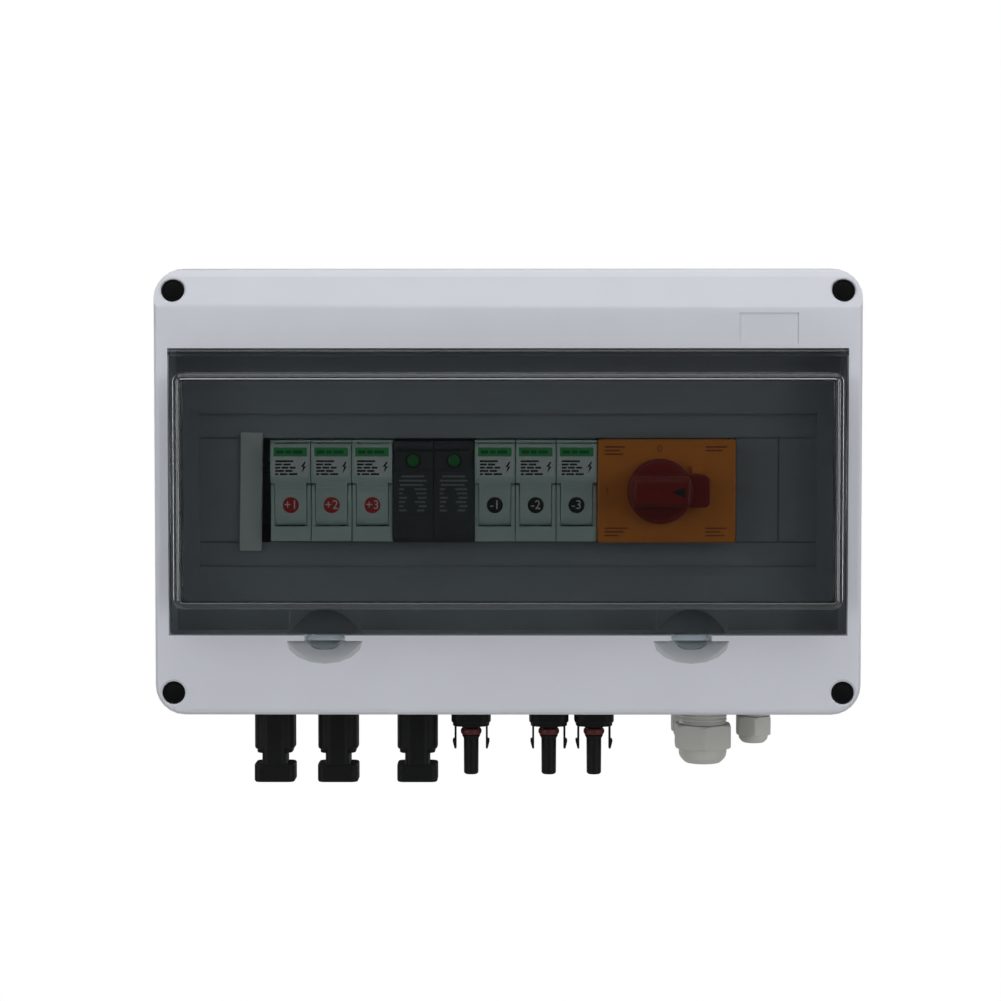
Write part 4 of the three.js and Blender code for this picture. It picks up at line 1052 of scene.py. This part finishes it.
@dataclass
class FuseHolder:
    """One fuse holder: base, swinging carrier with its printed label and sign disc, and the fuse link."""

    x: float
    index: int
    positive: bool
    face: float = 83.4
    grip: float = 81.5
    grip_slope: float = 0.352
    link_depth: float = 69.2
    link_low: float = -19.8
    link_high: float = 18.2
    link_radius: float = 5.0
    cap: float = 9.5
    words: tuple[tuple[tuple[float, float], ...], ...] = (
        ((-6.6, 1.4),), ((-6.6, -3.6), (-3.0, 0.2)), ((-6.6, -4.4), (-3.8, -0.8), (-0.2, 2.4)),
        ((-6.6, -2.8), (-2.2, 1.0)), ((-6.6, -5.2), (-4.6, -1.2), (-0.6, 3.2)))
    flash: tuple[tuple[float, float], ...] = (
        (6.3, 12.9), (4.6, 10.6), (5.7, 10.7), (5.0, 7.8), (7.0, 10.9), (5.9, 10.8), (6.9, 12.9))

    def build(self, shop: Workshop) -> None:
        """Builds and dresses the holder."""
        i = self.index
        body = f"carrier_{i}"
        shop.polish(f"fuse_base_{i}", "enclosure", DEVICE, 0.3)
        shop.polish(f"fuse_carrier_{i}", body, DEVICE, 0.35, 3)
        self._prints(shop, body)
        self._link(shop, body)
        self._contacts(shop)

    def _prints(self, shop: Workshop, body: str) -> None:
        """Label with a green band and small print as plain bars, grip ribs, and the string's number."""
        i, x, face = self.index, self.x, self.face
        label = plate(f"fuse_label_{i}", x - 8.0, x + 8.0, face - 0.1, face + 0.03, 6.4, 19.6, 0.0, 0.6)
        shop.dress(label, body, WHITE)
        band = plate(f"fuse_band_{i}", x - 7.4, x + 7.4, face - 0.1, face + 0.06, 15.2, 19.2, 0.0, 0.3)
        shop.dress(band, body, GREEN)
        words = [
            plate("word", x + start, x + start + long, face, face + 0.09, 16.4, 17.9, 0.0, 0.3)
            for start, long in ((-6.2, 3.4), (-2.2, 2.6), (1.0, 4.4))]
        shop.dress(gathered(f"fuse_band_words_{i}", words), body, GREEN_DARK)
        rows = [
            (x + start, x + end, z)
            for z, words in zip(np.linspace(13.1, 7.4, 5), self.words) for start, end in words]
        flash = [(x + right, z) for right, z in self.flash]
        lines = [*bars(rows, face, 0.05, 0.42, 0.15), prism("flash", flash, face - PRINT_DEPTH, face + 0.05)]
        shop.dress(gathered(f"fuse_print_{i}", lines), body, BLACK)
        ribs = []
        for z in np.linspace(0.7, 4.7, 5):
            base = self.grip + z * self.grip_slope
            ribs.append(plate(
                "rib", x - 6.3, x + 6.3, base - 0.6, base + 0.28, z - 0.22, z + 0.22, 0.12, 0.1))
        shop.dress(gathered(f"fuse_grip_ribs_{i}", ribs), body, DEVICE)
        grip = self.grip
        disc = turned(f"fuse_disc_{i}", [
            (HUB, grip - 0.3), (3.55, grip - 0.3), (3.55, grip + 0.1), (3.35, grip + 0.25),
            (HUB, grip + 0.25),
        ], (x, 0.0, -6.3), Axis.FRONT, 56)
        shop.dress(disc, body, MARK_RED if self.positive else BLACK)
        sign = "+" if self.positive else "-"
        number = (i - 1) % 3 + 1
        text = lettering(f"fuse_number_{i}", f"{sign}{number}", 5.6, x, self.grip + 0.24, -6.3)
        shop.dress(text, body, WHITE)

    def _link(self, shop: Workshop, body: str) -> None:
        """Fuse link: a ceramic tube and two plated caps with rolled edges."""
        i, r = self.index, self.link_radius
        place = (self.x, self.link_depth, self.link_high)
        long = self.link_high - self.link_low
        tube_piece = turned(f"fuse_tube_{i}", [
            (HUB, 0.5), (r - 0.4, 0.5), (r - 0.4, long - 0.5), (HUB, long - 0.5)], place, Axis.DOWN, 40)
        shop.dress(tube_piece, body, CERAMIC, f"fuse_link_{i}")
        caps = []
        for start, way in ((0.0, 1.0), (long, -1.0)):
            rows = [(HUB, 0.0), (r - 0.5, 0.0), (r, 0.5), (r, self.cap - 0.8), (r - 0.12, self.cap - 0.5),
                    (r - 0.1, self.cap), (r - 0.6, self.cap), (HUB, self.cap - 2.0)]
            caps.append(turned("cap", [(a, start + way * h) for a, h in rows], place, Axis.DOWN, 40, 0.2))
        shop.dress(gathered(f"fuse_caps_{i}", caps), body, CAP)

    def _contacts(self, shop: Workshop) -> None:
        """Terminal screws in the shoulders, above and below the nose."""
        screws = []
        for z in (32.0, -32.0):
            head = turned("terminal_screw", [
                (HUB, 50.2), (2.3, 50.2), (2.3, 52.2), (1.9, 52.6), (HUB, 52.6),
            ], (self.x, 0.0, z), Axis.FRONT, 28)
            slot = plate("slot", self.x - 2.6, self.x + 2.6, 51.8, 54.0, z - 0.35, z + 0.35)
            screws.append(fused("terminal_screw", [head], [slot]))
        shop.dress(gathered(f"fuse_screws_{self.index}", screws), "enclosure", ZINC)


@dataclass
class SurgeArrester:
    """Surge arrester: its base and two plug-in cartridges with state windows."""

    x: float = -32.8
    module: float = 18.0
    dip: float = 81.6
    flag_z: float = 13.4
    front: float = 83.0
    words: tuple[tuple[tuple[float, float], ...], ...] = (
        ((-5.2, 5.0),), ((-6.2, 6.0),), ((-5.8, 4.6),), ((-6.2, -4.0), (0.6, 6.0)),
        ((-6.2, -4.6), (1.4, 5.8)), ((-6.2, -2.6), (2.0, 6.0)), ((-6.2, -3.4), (0.8, 5.4)),
        ((-6.2, -4.2), (2.4, 6.0)), ((-6.2, -3.0), (1.6, 5.0)))

    def build(self, shop: Workshop) -> None:
        """Builds and dresses the arrester."""
        shop.polish("surge_base", "enclosure", DARK, 0.3)
        for i, side in enumerate((-1, 1), 1):
            body = f"cartridge_{i}"
            x = self.x + side * self.module / 2
            shop.polish(f"surge_cartridge_{i}", body, DARK, 0.35, 3)
            place = (x, self.dip, self.flag_z)
            window = turned(f"surge_flag_{i}", [
                (HUB, -0.4), (2.7, -0.4), (2.7, 0.1), (1.8, 0.6), (HUB, 0.85)], place, Axis.FRONT, 40, 0.6)
            shop.dress(window, body, WINDOW_GREEN)
            frame = turned(f"surge_flag_frame_{i}", [
                (2.75, -0.4), (2.75, 0.3), (3.3, 0.3), (3.6, -0.4)], place, Axis.FRONT, 40, closed=True)
            shop.dress(frame, body, BLACK)
            front = self.front
            ribs = [
                plate("rib", x - 6.6, x + 6.6, front - 0.2, front + 0.18, z - 0.45, z + 0.45, 0.15, 0.2)
                for z in np.arange(-18.6, -11.0, 1.9)]
            shop.dress(gathered(f"surge_ribs_{i}", ribs), body, DARK)
            rows = [
                (x + start, x + end, z)
                for z, words in zip(np.linspace(6.4, -8.6, 9), self.words) for start, end in words]
            shop.dress(gathered(f"surge_print_{i}", bars(rows, front, 0.04, 0.4, 0.15)), body, PRINT_GREY)


@dataclass
class Isolator:
    """Rotary isolator: body, orange plate, red knob with its padlock tab, and the shaft."""

    x: float = 69.8
    knob_x: float = 66.6
    radius: float = 14.3
    back: float = 83.9
    disc: float = 90.0
    front: float = 104.0
    bar: float = 6.4
    plate_front: float = 83.6
    slot: tuple[float, float, float, float] = (5.0, 86.0, 89.0, 5.3)
    lines: tuple[tuple[float, float, float], ...] = (
        (-27.4, 19.4, 9.0), (-27.4, 17.8, 7.0), (-27.4, 16.2, 8.2), (-27.4, -16.4, 10.4), (-27.4, -18.0, 8.8),
        (-27.4, -19.6, 6.2), (17.0, 19.4, 9.6), (17.0, 17.8, 7.4), (17.0, -16.4, 9.2), (17.0, -18.0, 6.6),
        (17.0, -19.6, 8.4))

    def _knob(self) -> Piece:
        """Round knob with a grip bar: the bar's sections are a circle cut off above and below.

        At each depth the bar's outline is the circle's point with its height held within the bar's.
        """
        r = self.radius
        place = (self.knob_x, 0.0, 0.0)
        disc = turned("knob_disc", [
            (HUB, self.back), (r - 0.4, self.back), (r, self.back + 0.4), (r, self.disc - 1.4),
            (r - 1.4, self.disc), (HUB, self.disc)], place, Axis.FRONT, 112, 0.5)
        rows = fillet([
            (r - 0.5, self.bar + 1.4, self.disc - 1.0), (r - 0.5, self.bar + 1.3, self.disc + 0.2),
            (r - 0.6, self.bar + 0.3, self.disc + 2.0), (r - 0.7, self.bar, self.front - 2.2),
            (r - 2.2, self.bar - 1.6, self.front), (r - 6.0, self.bar - 5.0, self.front)],
            (0.8, 1.6, 1.6, 2.0), 5)
        circle = rows[:, :1, None] * unit_circle(112)
        circle[..., 1] = np.clip(circle[..., 1], -rows[:, 1:2], rows[:, 1:2])
        grip = skin("knob_grip", stacked(circle, rows[:, 2], place, Axis.FRONT))
        inner, slot_back, slot_front, half = self.slot
        slot = plate("slot", self.knob_x + inner, self.knob_x + r + 2, slot_back, slot_front, -half, half)
        bore = turned("bore", [
            (HUB, self.back - 1), (3.5, self.back - 1), (3.5, 97.3), (HUB, 97.3)], place, Axis.FRONT, 32)
        return fused("isolator_knob_finished", [disc, grip], [bore, slot])

    def build(self, shop: Workshop) -> None:
        """Builds and dresses the isolator."""
        shop.polish("isolator_body", "enclosure", DARK, 0.4)
        shop.polish("isolator_plate", "enclosure", ORANGE, 0.3)
        shop.polish("isolator_shaft", "knob", ZINC, 0.2)
        shop.dress(self._knob(), "knob", RED, "isolator_knob")
        shop.polish("knob_lock_tab", "lock_tab", RED, 0.5, 3)
        x = self.knob_x + 6.2
        outline = fillet([(x + 3.4, 2.2), (x - 2.4, 0.0), (x + 3.4, -2.2)], 0.3)
        triangle = prism("knob_pointer", outline, self.front - PRINT_DEPTH, self.front + 0.06)
        shop.dress(triangle, "knob", BLACK)
        front = self.plate_front
        marks = [
            lettering("mark_off", "0", 4.4, self.knob_x, front, 18.6),
            lettering("mark_on", "1", 4.4, self.x - 26.2, front, 0.0),
        ]
        rows = [(self.x + start, self.x + start + long, z) for start, z, long in self.lines]
        marks += bars(rows, front, 0.04, 0.35, 0.1)
        shop.dress(gathered("isolator_marks", marks), "enclosure", PRINT_ORANGE)


@dataclass
class RailParts:
    """The rail with its screws, the loose blanking strip, and the comb bars."""

    rail_screws: tuple[float, ...] = (-125.0, 125.0)
    rail_back: float = 14.8

    def build(self, shop: Workshop) -> None:
        """Builds and dresses the rail's parts."""
        shop.polish("din_rail", "enclosure", ZINC, 0.25)
        shop.polish("blanking_strip", "enclosure", BLANK, 0.3, 3)
        screws = []
        top = self.rail_back + 1.0
        for x in self.rail_screws:
            head = turned("rail_screw", [
                (HUB, top), (4.4, top), (4.4, top + 1.4), (3.2, top + 2.8), (HUB, top + 3.1),
            ], (x, 0.0, 0.0), Axis.FRONT, 40, 0.4)
            screws.append(fused("rail_screw", [head], cross(x, 0.0, 2.4, top + 1.4, top + 4)))
        shop.dress(gathered("rail_screws", screws), "enclosure", ZINC)
        for name in ("busbar_positive", "busbar_negative"):
            shop.polish(name, "enclosure", COPPER, 0.2)


# ------------------------------------------------------------------ connectors and glands


def threaded(
    name: str, radius: float, start: float, end: float, pitch: float, place: Point,
    deep: float = 0.35,
) -> Piece:
    """Ridged shank: the radius falls by the ridge's depth times half of one less the cosine of the turn."""
    steps = max(int((end - start) / pitch * 8), 8)
    along = np.linspace(start, end, steps)
    wave = (1 - np.cos(2 * math.pi * (along - start) / pitch)) / 2
    rows = np.stack([radius - deep * wave, along], -1)
    return turned(name, np.concatenate([[(HUB, start)], rows, [(HUB, end)]]), place, Axis.DOWN, 48)


def lock_nut(
    shop: Workshop, name: str, x: float, depth: float, flats: float, bore: float, finish: Finish,
) -> None:
    """Six-sided nut on the inside of the bottom wall, with its outer corners rounded off.

    Args:
        shop: the workshop.
        name: name of the piece.
        x: place along the width.
        depth: distance from the wall.
        flats: size across the flats.
        bore: radius of its hole.
        finish: its finish.
    """
    count = 72
    inside = BOTTOM_WALL + INNER_FLOOR
    rows = np.array([(bore, 0.15), (9.0, 0.15), (9.6, 0.6), (9.6, 4.4), (9.0, 4.9), (bore, 4.9)])
    rows[1:5, 0] *= flats / 17.0
    radius = np.minimum(rows[:, :1], hexagon_radius(flats, count, 0.0))
    rings = stacked(radius[..., None] * unit_circle(count), -rows[:, 1], (x, depth, inside), Axis.DOWN)
    shop.dress(skin(name, rings, True), "enclosure", finish)


@dataclass
class SocketConnector:
    """Panel socket: thread and ring, a broad body, a waist with ribs, and a block at the mouth."""

    x: float
    index: int
    depth: float = 30.0

    def build(self, shop: Workshop) -> None:
        """Builds and dresses the socket."""
        place = (self.x, self.depth, BOTTOM_WALL)
        count = 96
        hexagon = np.minimum(hexagon_radius(17.6, count, math.pi / 6), 9.9)[:, None] * unit_circle(count)
        scale = np.array([0.97, 1.0, 1.0, 0.97])[:, None, None]
        ring = skin("ring", stacked(scale * hexagon, np.array([GAP, 0.7, 3.6, 4.0]), place, Axis.DOWN))
        shank = threaded("shank", 6.0, -9.5, 1.0, 1.3, place)
        body = lofted("body", [
            (8.9, 7.0, 4.6, 3.0), (9.4, 7.5, 5.0, 3.6), (9.4, 7.5, 5.0, 25.0), (9.0, 7.1, 4.6, 25.7),
            (8.3, 6.5, 4.0, 26.0), (8.3, 6.5, 4.0, 27.3), (8.0, 6.2, 3.8, 27.6)], place, Axis.DOWN, 0.4)
        rib = lofted("rib", [
            (5.4, 7.2, 2.6, 5.0), (5.7, 8.2, 3.0, 6.4), (5.7, 8.2, 3.0, 32.8), (5.6, 8.0, 3.0, 33.0)],
            place, Axis.DOWN, 0.5)
        mouth = lofted("mouth", [
            (9.0, 6.6, 2.8, 32.6), (9.45, 7.0, 3.0, 33.1), (9.45, 7.0, 3.0, 40.5), (9.0, 6.6, 2.8, 41.1)],
            place, Axis.DOWN, 0.4)
        lip = turned("lip", [(HUB, 32.0), (5.0, 32.0), (5.0, 40.7), (5.5, 42.0), (HUB, 42.0)],
                     place, Axis.DOWN, 48)
        bore = turned("bore", [(HUB, 12.0), (3.9, 12.0), (3.9, 33.0), (HUB, 33.0)], place, Axis.DOWN, 40)
        front = self.depth + 7.75
        latch = plate(
            "latch", self.x - 4.6, self.x + 4.6, front, front + 1.75, BOTTOM_WALL - 8.6, BOTTOM_WALL - 5.2,
            0.3, 0.8)
        node = f"socket_connector_{self.index}"
        piece = fused(f"{node}_finished", [body, rib, ring, shank, mouth], [lip, bore, latch])
        shop.dress(piece, "enclosure", CONNECTOR, node)
        pin = turned(f"socket_pin_{self.index}", [
            (HUB, 11.0), (1.3, 11.0), (1.3, 28.0), (0.9, 29.2), (HUB, 29.4)], place, Axis.DOWN, 28)
        shop.dress(pin, "enclosure", CAP)
        lock_nut(shop, f"socket_lock_nut_{self.index}", self.x, self.depth, 15.0, 6.2, CONNECTOR)


@dataclass
class PlugConnector:
    """Panel plug: thread and flange, a long nose, two latch arms, and the ring round the nose."""

    x: float
    index: int
    depth: float = 30.0
    arm_x: float = 7.3
    arm_half: float = 0.45
    arm_wide: float = 2.4

    def _arm(self, side: int) -> Piece:
        """Latch arm with a barb near its end, seen from the front."""
        out, half = self.arm_x, self.arm_half
        run = [
            (out - half, 14.0), (out - half, 26.0), (out + half, 26.0), (8.6, 22.7), (8.6, 21.8),
            (out + half, 21.4), (out + half, 14.0)]
        outline = [(self.x + side * a, BOTTOM_WALL - h) for a, h in run]
        return prism("arm", outline, self.depth - self.arm_wide, self.depth + self.arm_wide, 0.15)

    def build(self, shop: Workshop) -> None:
        """Builds and dresses the plug."""
        place = (self.x, self.depth, BOTTOM_WALL)
        i = self.index
        body = lofted("body", [
            (8.8, 7.1, 4.6, GAP), (9.2, 7.5, 5.0, 0.8), (9.2, 7.5, 5.0, 13.0), (8.9, 7.2, 4.7, 13.5),
            (8.5, 6.8, 4.4, 13.6), (8.5, 6.8, 4.4, 14.9), (8.2, 6.5, 4.2, 15.2)], place, Axis.DOWN, 0.4)
        nose = turned("nose", [
            (HUB, 0.5), (6.0, 0.5), (6.0, 12.0), (5.6, 15.2), (4.2, 16.3), (3.2, 16.3), (3.2, 19.7),
            (4.4, 19.7), (3.5, 21.4), (3.4, 37.4), (2.8, 38.1), (1.6, 38.1), (1.6, 24.0), (HUB, 24.0),
        ], place, Axis.DOWN, 56, 0.25)
        shank = threaded("shank", 6.0, -9.5, 1.0, 1.3, place)
        piece = fused(f"plug_connector_{i}_finished", [body, nose, shank, self._arm(-1), self._arm(1)])
        shop.dress(piece, "enclosure", CONNECTOR, f"plug_connector_{i}")
        turn = np.linspace(0, 2 * math.pi, 17)[:-1]
        section = np.stack([4.2 + 0.7 * np.cos(turn), 18.0 + 1.4 * np.sin(turn)], -1)
        ring = turned(f"plug_seal_{i}_finished", section, place, Axis.DOWN, 56, closed=True)
        shop.dress(ring, "enclosure", RING, f"plug_seal_{i}")
        contact = turned(f"plug_contact_{i}", [
            (1.0, 26.0), (1.5, 26.0), (1.5, 37.6), (1.3, 37.8), (1.0, 37.6),
        ], place, Axis.DOWN, 28, closed=True)
        shop.dress(contact, "enclosure", CAP)
        lock_nut(shop, f"plug_lock_nut_{i}", self.x, self.depth, 15.0, 6.2, CONNECTOR)


@dataclass
class Gland:
    """Cable gland: threaded shank, ringed collar, six-sided dome nut, and a rubber sleeve in its bore."""

    index: int
    x: float
    depth: float
    shank: float
    collar: float
    flats: float
    nut_top: float
    nut_end: float
    end: float
    bore: float
    count: int = 120

    def _rings(self, rows: np.ndarray, six: bool) -> np.ndarray:
        """Rings of a turned profile, held within the hexagon where the piece has six sides."""
        radius = rows[:, :1]
        if six:
            radius = np.minimum(radius, hexagon_radius(self.flats, self.count, math.pi / 6))
        rings = radius[..., None] * unit_circle(self.count)
        return stacked(rings, rows[:, 1], (self.x, self.depth, BOTTOM_WALL), Axis.DOWN)

    def _body(self) -> Piece:
        """Body: shank, flange, a collar with raised rings, and the thread under the nut, round its bore."""
        ring_end = self.nut_top - GAP
        rings = int((ring_end - 5.4) / 1.7)
        ridges = []
        for k in range(rings):
            h = 5.2 + 1.7 * k
            ridges += [(self.collar - 0.45, h), (self.collar, h + 0.35), (self.collar, h + 1.1),
                       (self.collar - 0.45, h + 1.45)]
        thread = self.flats / 2 - 2.4
        rows = np.array([
            (self.bore, -9.5), (self.shank, -9.5), (self.shank, GAP), (self.collar + 1.2, GAP),
            (self.collar + 1.2, 3.4), (self.collar + 0.6, 4.1), (self.collar - 0.45, 4.6), *ridges,
            (self.collar - 0.2, ring_end), (thread, ring_end), (thread, self.nut_end - 2),
            (self.bore, self.nut_end - 2)])
        return skin(f"gland_body_{self.index}_finished", self._rings(rows, False), True)

    def _nut(self) -> Piece:
        """Dome nut: six flats with chamfered corners, a round dome, and the hole for the cable."""
        across = self.flats / 2
        dome = across - 0.055 * self.flats
        room = across - 2.1
        shoulder = 0.12 * self.flats
        outer = fillet([
            (room, self.nut_top), (across * 1.04, self.nut_top), (across * 1.13, self.nut_top + 0.9),
            (across * 1.13, self.nut_end - 0.9), (across * 1.04, self.nut_end), (dome, self.nut_end + 0.1),
            (dome - 0.1, self.end - shoulder), (dome - shoulder, self.end), (self.bore + 0.6, self.end),
            (self.bore, self.end - 0.6)],
            (0.2, 0.5, 0.5, 0.4, 0.3, 1.8, 1.0, 0.3), 4)
        inner = np.array([(self.bore, self.nut_end + 1.0), (room, self.nut_end - 1.7)])
        rings = self._rings(np.concatenate([outer, inner]), True)
        return skin(f"gland_nut_{self.index}_finished", rings, True)

    def build(self, shop: Workshop) -> None:
        """Builds and dresses the gland."""
        i = self.index
        shop.dress(self._body(), "enclosure", GLAND, f"gland_body_{i}")
        shop.dress(self._nut(), f"nut_{i}", GLAND, f"gland_nut_{i}")
        r = self.bore
        rubber = turned(f"gland_rubber_{i}", fillet([
            (r - 1.3, self.nut_end - 6.0), (r - 0.1, self.nut_end - 6.0), (r - 0.1, self.end - 1.4),
            (r - 0.6, self.end - 0.9), (r - 1.3, self.end - 1.4)], 0.3, 3),
            (self.x, self.depth, BOTTOM_WALL), Axis.DOWN, 48, closed=True)
        shop.dress(rubber, "enclosure", SEAL)
        lock_nut(shop, f"gland_lock_nut_{i}", self.x, self.depth, self.shank * 2.4, self.shank + 0.2, GLAND)


# ------------------------------------------------------------------ wiring


@dataclass
class Wiring:
    """Two looms from the connectors to the fuse holders, and the earth bar."""

    socket_x: tuple[float, ...]
    plug_x: tuple[float, ...]
    fuse_x: tuple[float, ...]
    radius: float = 2.2
    tie_z: float = -64.0
    tie_depth: float = 40.0
    start_z: float = -86.2
    terminal: tuple[float, float] = (45.0, -35.0)

    def _loom(
        self, shop: Workshop, name: str, starts: Sequence[float], ends: Sequence[float], finish: Finish,
    ) -> None:
        """Three leads gathered by one cable tie."""
        middle = ends[1]
        spread = 2 * self.radius + 0.2
        depth, top = self.terminal
        leads = [tube("lead", [
            (x, 30.0, self.start_z), (x, 31.0, self.start_z + 6.2),
            (middle + (i - 1) * spread, self.tie_depth, self.tie_z), (ends[i], depth, -52.0),
            (ends[i], depth, top)], self.radius - 0.02, 64, 20) for i, x in enumerate(starts)]
        shop.dress(gathered(f"{name}_finished", leads), "enclosure", finish, name)
        reach = spread + self.radius
        outer = rounded_outline(reach + 0.8, self.radius + 0.8, 2.6, arc=8)
        inner = rounded_outline(reach + 0.02, self.radius + 0.02, 2.1, arc=8)
        rings = np.concatenate([outer, outer, inner, inner])
        tie = skin(f"{name}_tie", stacked(
            rings, np.array([-2.0, 2.0, 2.0, -2.0]), (middle, self.tie_depth, self.tie_z), Axis.DOWN), True)
        shop.dress(tie, "enclosure", SEAL)

    def build(self, shop: Workshop) -> None:
        """Builds and dresses the wiring."""
        self._loom(shop, "positive_loom", self.socket_x, self.fuse_x[:3], WIRE_RED)
        self._loom(shop, "negative_loom", self.plug_x, self.fuse_x[3:], WIRE_BLACK)
        shop.polish("earth_bar", "enclosure", BRASS, 0.3)
        screws = []
        for x in (55.0, 65.0, 75.0):
            head = turned("earth_screw", [
                (HUB, 24.0), (1.8, 24.0), (1.8, 28.1), (3.0, 28.1), (3.0, 29.4), (2.2, 30.2), (HUB, 30.2),
            ], (x, 0.0, -66.0), Axis.FRONT, 32, 0.2)
            slot = plate("slot", x - 3.4, x + 3.4, 29.2, 32, -66.4, -65.6)
            screws.append(fused("earth_screw", [head], [slot]))
        shop.dress(gathered("earth_screws", screws), "enclosure", BRASS)


# ------------------------------------------------------------------ stage


@dataclass
class Stage:
    """Camera, pale floor, white surroundings and soft lights."""

    lens: float = 74.9
    camera_place: tuple[float, float, float] = (0.0, -1.0, 0.0294)
    camera_turn: tuple[float, float, float] = (87.9, 0.0, 0.206)
    floor_z: float = -0.74
    floor_start: float = -3.0
    floor_end: float = 1.7
    floor_reach: float = 4.0
    glow: float = 0.05

    def _camera(self) -> None:
        """Camera in front of the box, looking a little down."""
        data = bpy.data.cameras.new("camera")
        data.lens = self.lens
        data.sensor_width = 36.0
        camera = bpy.data.objects.new("camera", data)
        camera.location = self.camera_place
        camera.rotation_euler = [math.radians(angle) for angle in self.camera_turn]
        bpy.context.scene.collection.objects.link(camera)
        bpy.context.scene.camera = camera

    @staticmethod
    def _floor(corners: Sequence[Sequence[float]]) -> None:
        """Flat floor of the stage, evenly pale to the eye, as the surroundings are."""
        mesh = bpy.data.meshes.new("floor")
        mesh.from_pydata([tuple(c) for c in corners], [], [(0, 1, 2, 3)])
        floor = new_object("floor", mesh)
        material = bpy.data.materials.new("floor")
        material.use_nodes = True
        material.node_tree.nodes.clear()
        tree = Tree(material.node_tree)
        matt = tree.add("BsdfDiffuse", {"Color": (0.6, 0.6, 0.6, 1.0)})
        pale = tree.add("Emission", {"Color": (0.86, 0.865, 0.87, 1.0)})
        seen = tree.add("LightPath").outputs["Is Camera Ray"]
        both = tree.add("MixShader", {0: seen, 1: matt.outputs[0], 2: pale.outputs[0]})
        tree.add("OutputMaterial", {"Surface": both.outputs[0]})
        mesh.materials.append(material)

    def _surroundings(self) -> None:
        """White all round for the eye, and a dim cool grey for the light that it gives."""
        world = bpy.data.worlds.new("surroundings")
        world.use_nodes = True
        world.node_tree.nodes.clear()
        tree = Tree(world.node_tree)
        dim = tree.add("Background", {"Color": (0.95, 0.97, 1.0, 1.0), "Strength": self.glow})
        white = tree.add("Background", {"Color": (1.0, 1.0, 1.0, 1.0), "Strength": 1.0})
        seen = tree.add("LightPath").outputs["Is Camera Ray"]
        both = tree.add("MixShader", {0: seen, 1: dim.outputs[0], 2: white.outputs[0]})
        tree.add("OutputWorld", {"Surface": both.outputs[0]})
        bpy.context.scene.world = world

    @staticmethod
    def _light(name: str, place: Point, size: tuple[float, float], power: float) -> None:
        """Soft rectangular light turned towards the box."""
        data = bpy.data.lights.new(name, "AREA")
        data.shape = "RECTANGLE"
        data.size, data.size_y = size
        data.energy = power
        light = bpy.data.objects.new(name, data)
        light.location = place
        light.visible_camera = False
        light.rotation_euler = Vector(place).to_track_quat("Z", "Y").to_euler()
        bpy.context.scene.collection.objects.link(light)

    def build(self) -> None:
        """Builds the stage."""
        self._camera()
        near, far, reach, low = self.floor_start, self.floor_end, self.floor_reach, self.floor_z
        self._floor([(-reach, near, low), (reach, near, low), (reach, far, low), (-reach, far, low)])
        self._surroundings()
        self._light("key", (0.0, -0.3, 1.3), (2.2, 1.7), 19.8)
        fill = (0.9, 1.1)
        self._light("left_fill", (-1.35, -1.3, 0.25), fill, 11.5)
        self._light("right_fill", (1.35, -1.3, 0.25), fill, 13.4)
        self._light("left_back", (-1.5, 1.5, 0.3), fill, 12.0)
        self._light("right_back", (1.5, 1.5, 0.3), fill, 12.0)
        bpy.context.scene.view_settings.view_transform = "Standard"


# ------------------------------------------------------------------ the whole box

FUSE_X = (-95.8, -77.8, -59.8, -5.8, 12.2, 30.2)
SOCKET_X = (-108.7, -79.2, -42.2)
PLUG_X = (-17.2, 19.1, 40.2)
SMALL_GLAND = {
    "shank": 6.0, "collar": 7.3, "flats": 15.4, "nut_top": 11.3, "nut_end": 20.2, "end": 23.9, "bore": 3.4}
GLANDS = (
    Gland(1, 90.3, 38.0, shank=10.0, collar=11.1, flats=24.9, nut_top=13.2, nut_end=24.3, end=31.2, bore=6.5),
    Gland(2, 85.6, 12.5, **SMALL_GLAND),
    Gland(3, 115.3, 25.0, **SMALL_GLAND),
)


def main() -> None:
    """Builds the stage and every sub-assembly in order."""
    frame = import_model()
    shop = Workshop(frame)
    parts: list[Any] = [
        Casing(),
        SmokedDoor(),
        RailParts(),
        *(FuseHolder(x, i, i <= 3) for i, x in enumerate(FUSE_X, 1)),
        SurgeArrester(),
        Isolator(),
        *(SocketConnector(x, i) for i, x in enumerate(SOCKET_X, 1)),
        *(PlugConnector(x, i) for i, x in enumerate(PLUG_X, 1)),
        *GLANDS,
        Wiring(SOCKET_X, PLUG_X, FUSE_X),
    ]
    Stage().build()
    for part in parts:
        part.build(shop)


if __name__ == "__main__":
    logging.basicConfig(level=logging.INFO, format="%(message)s")
    main()
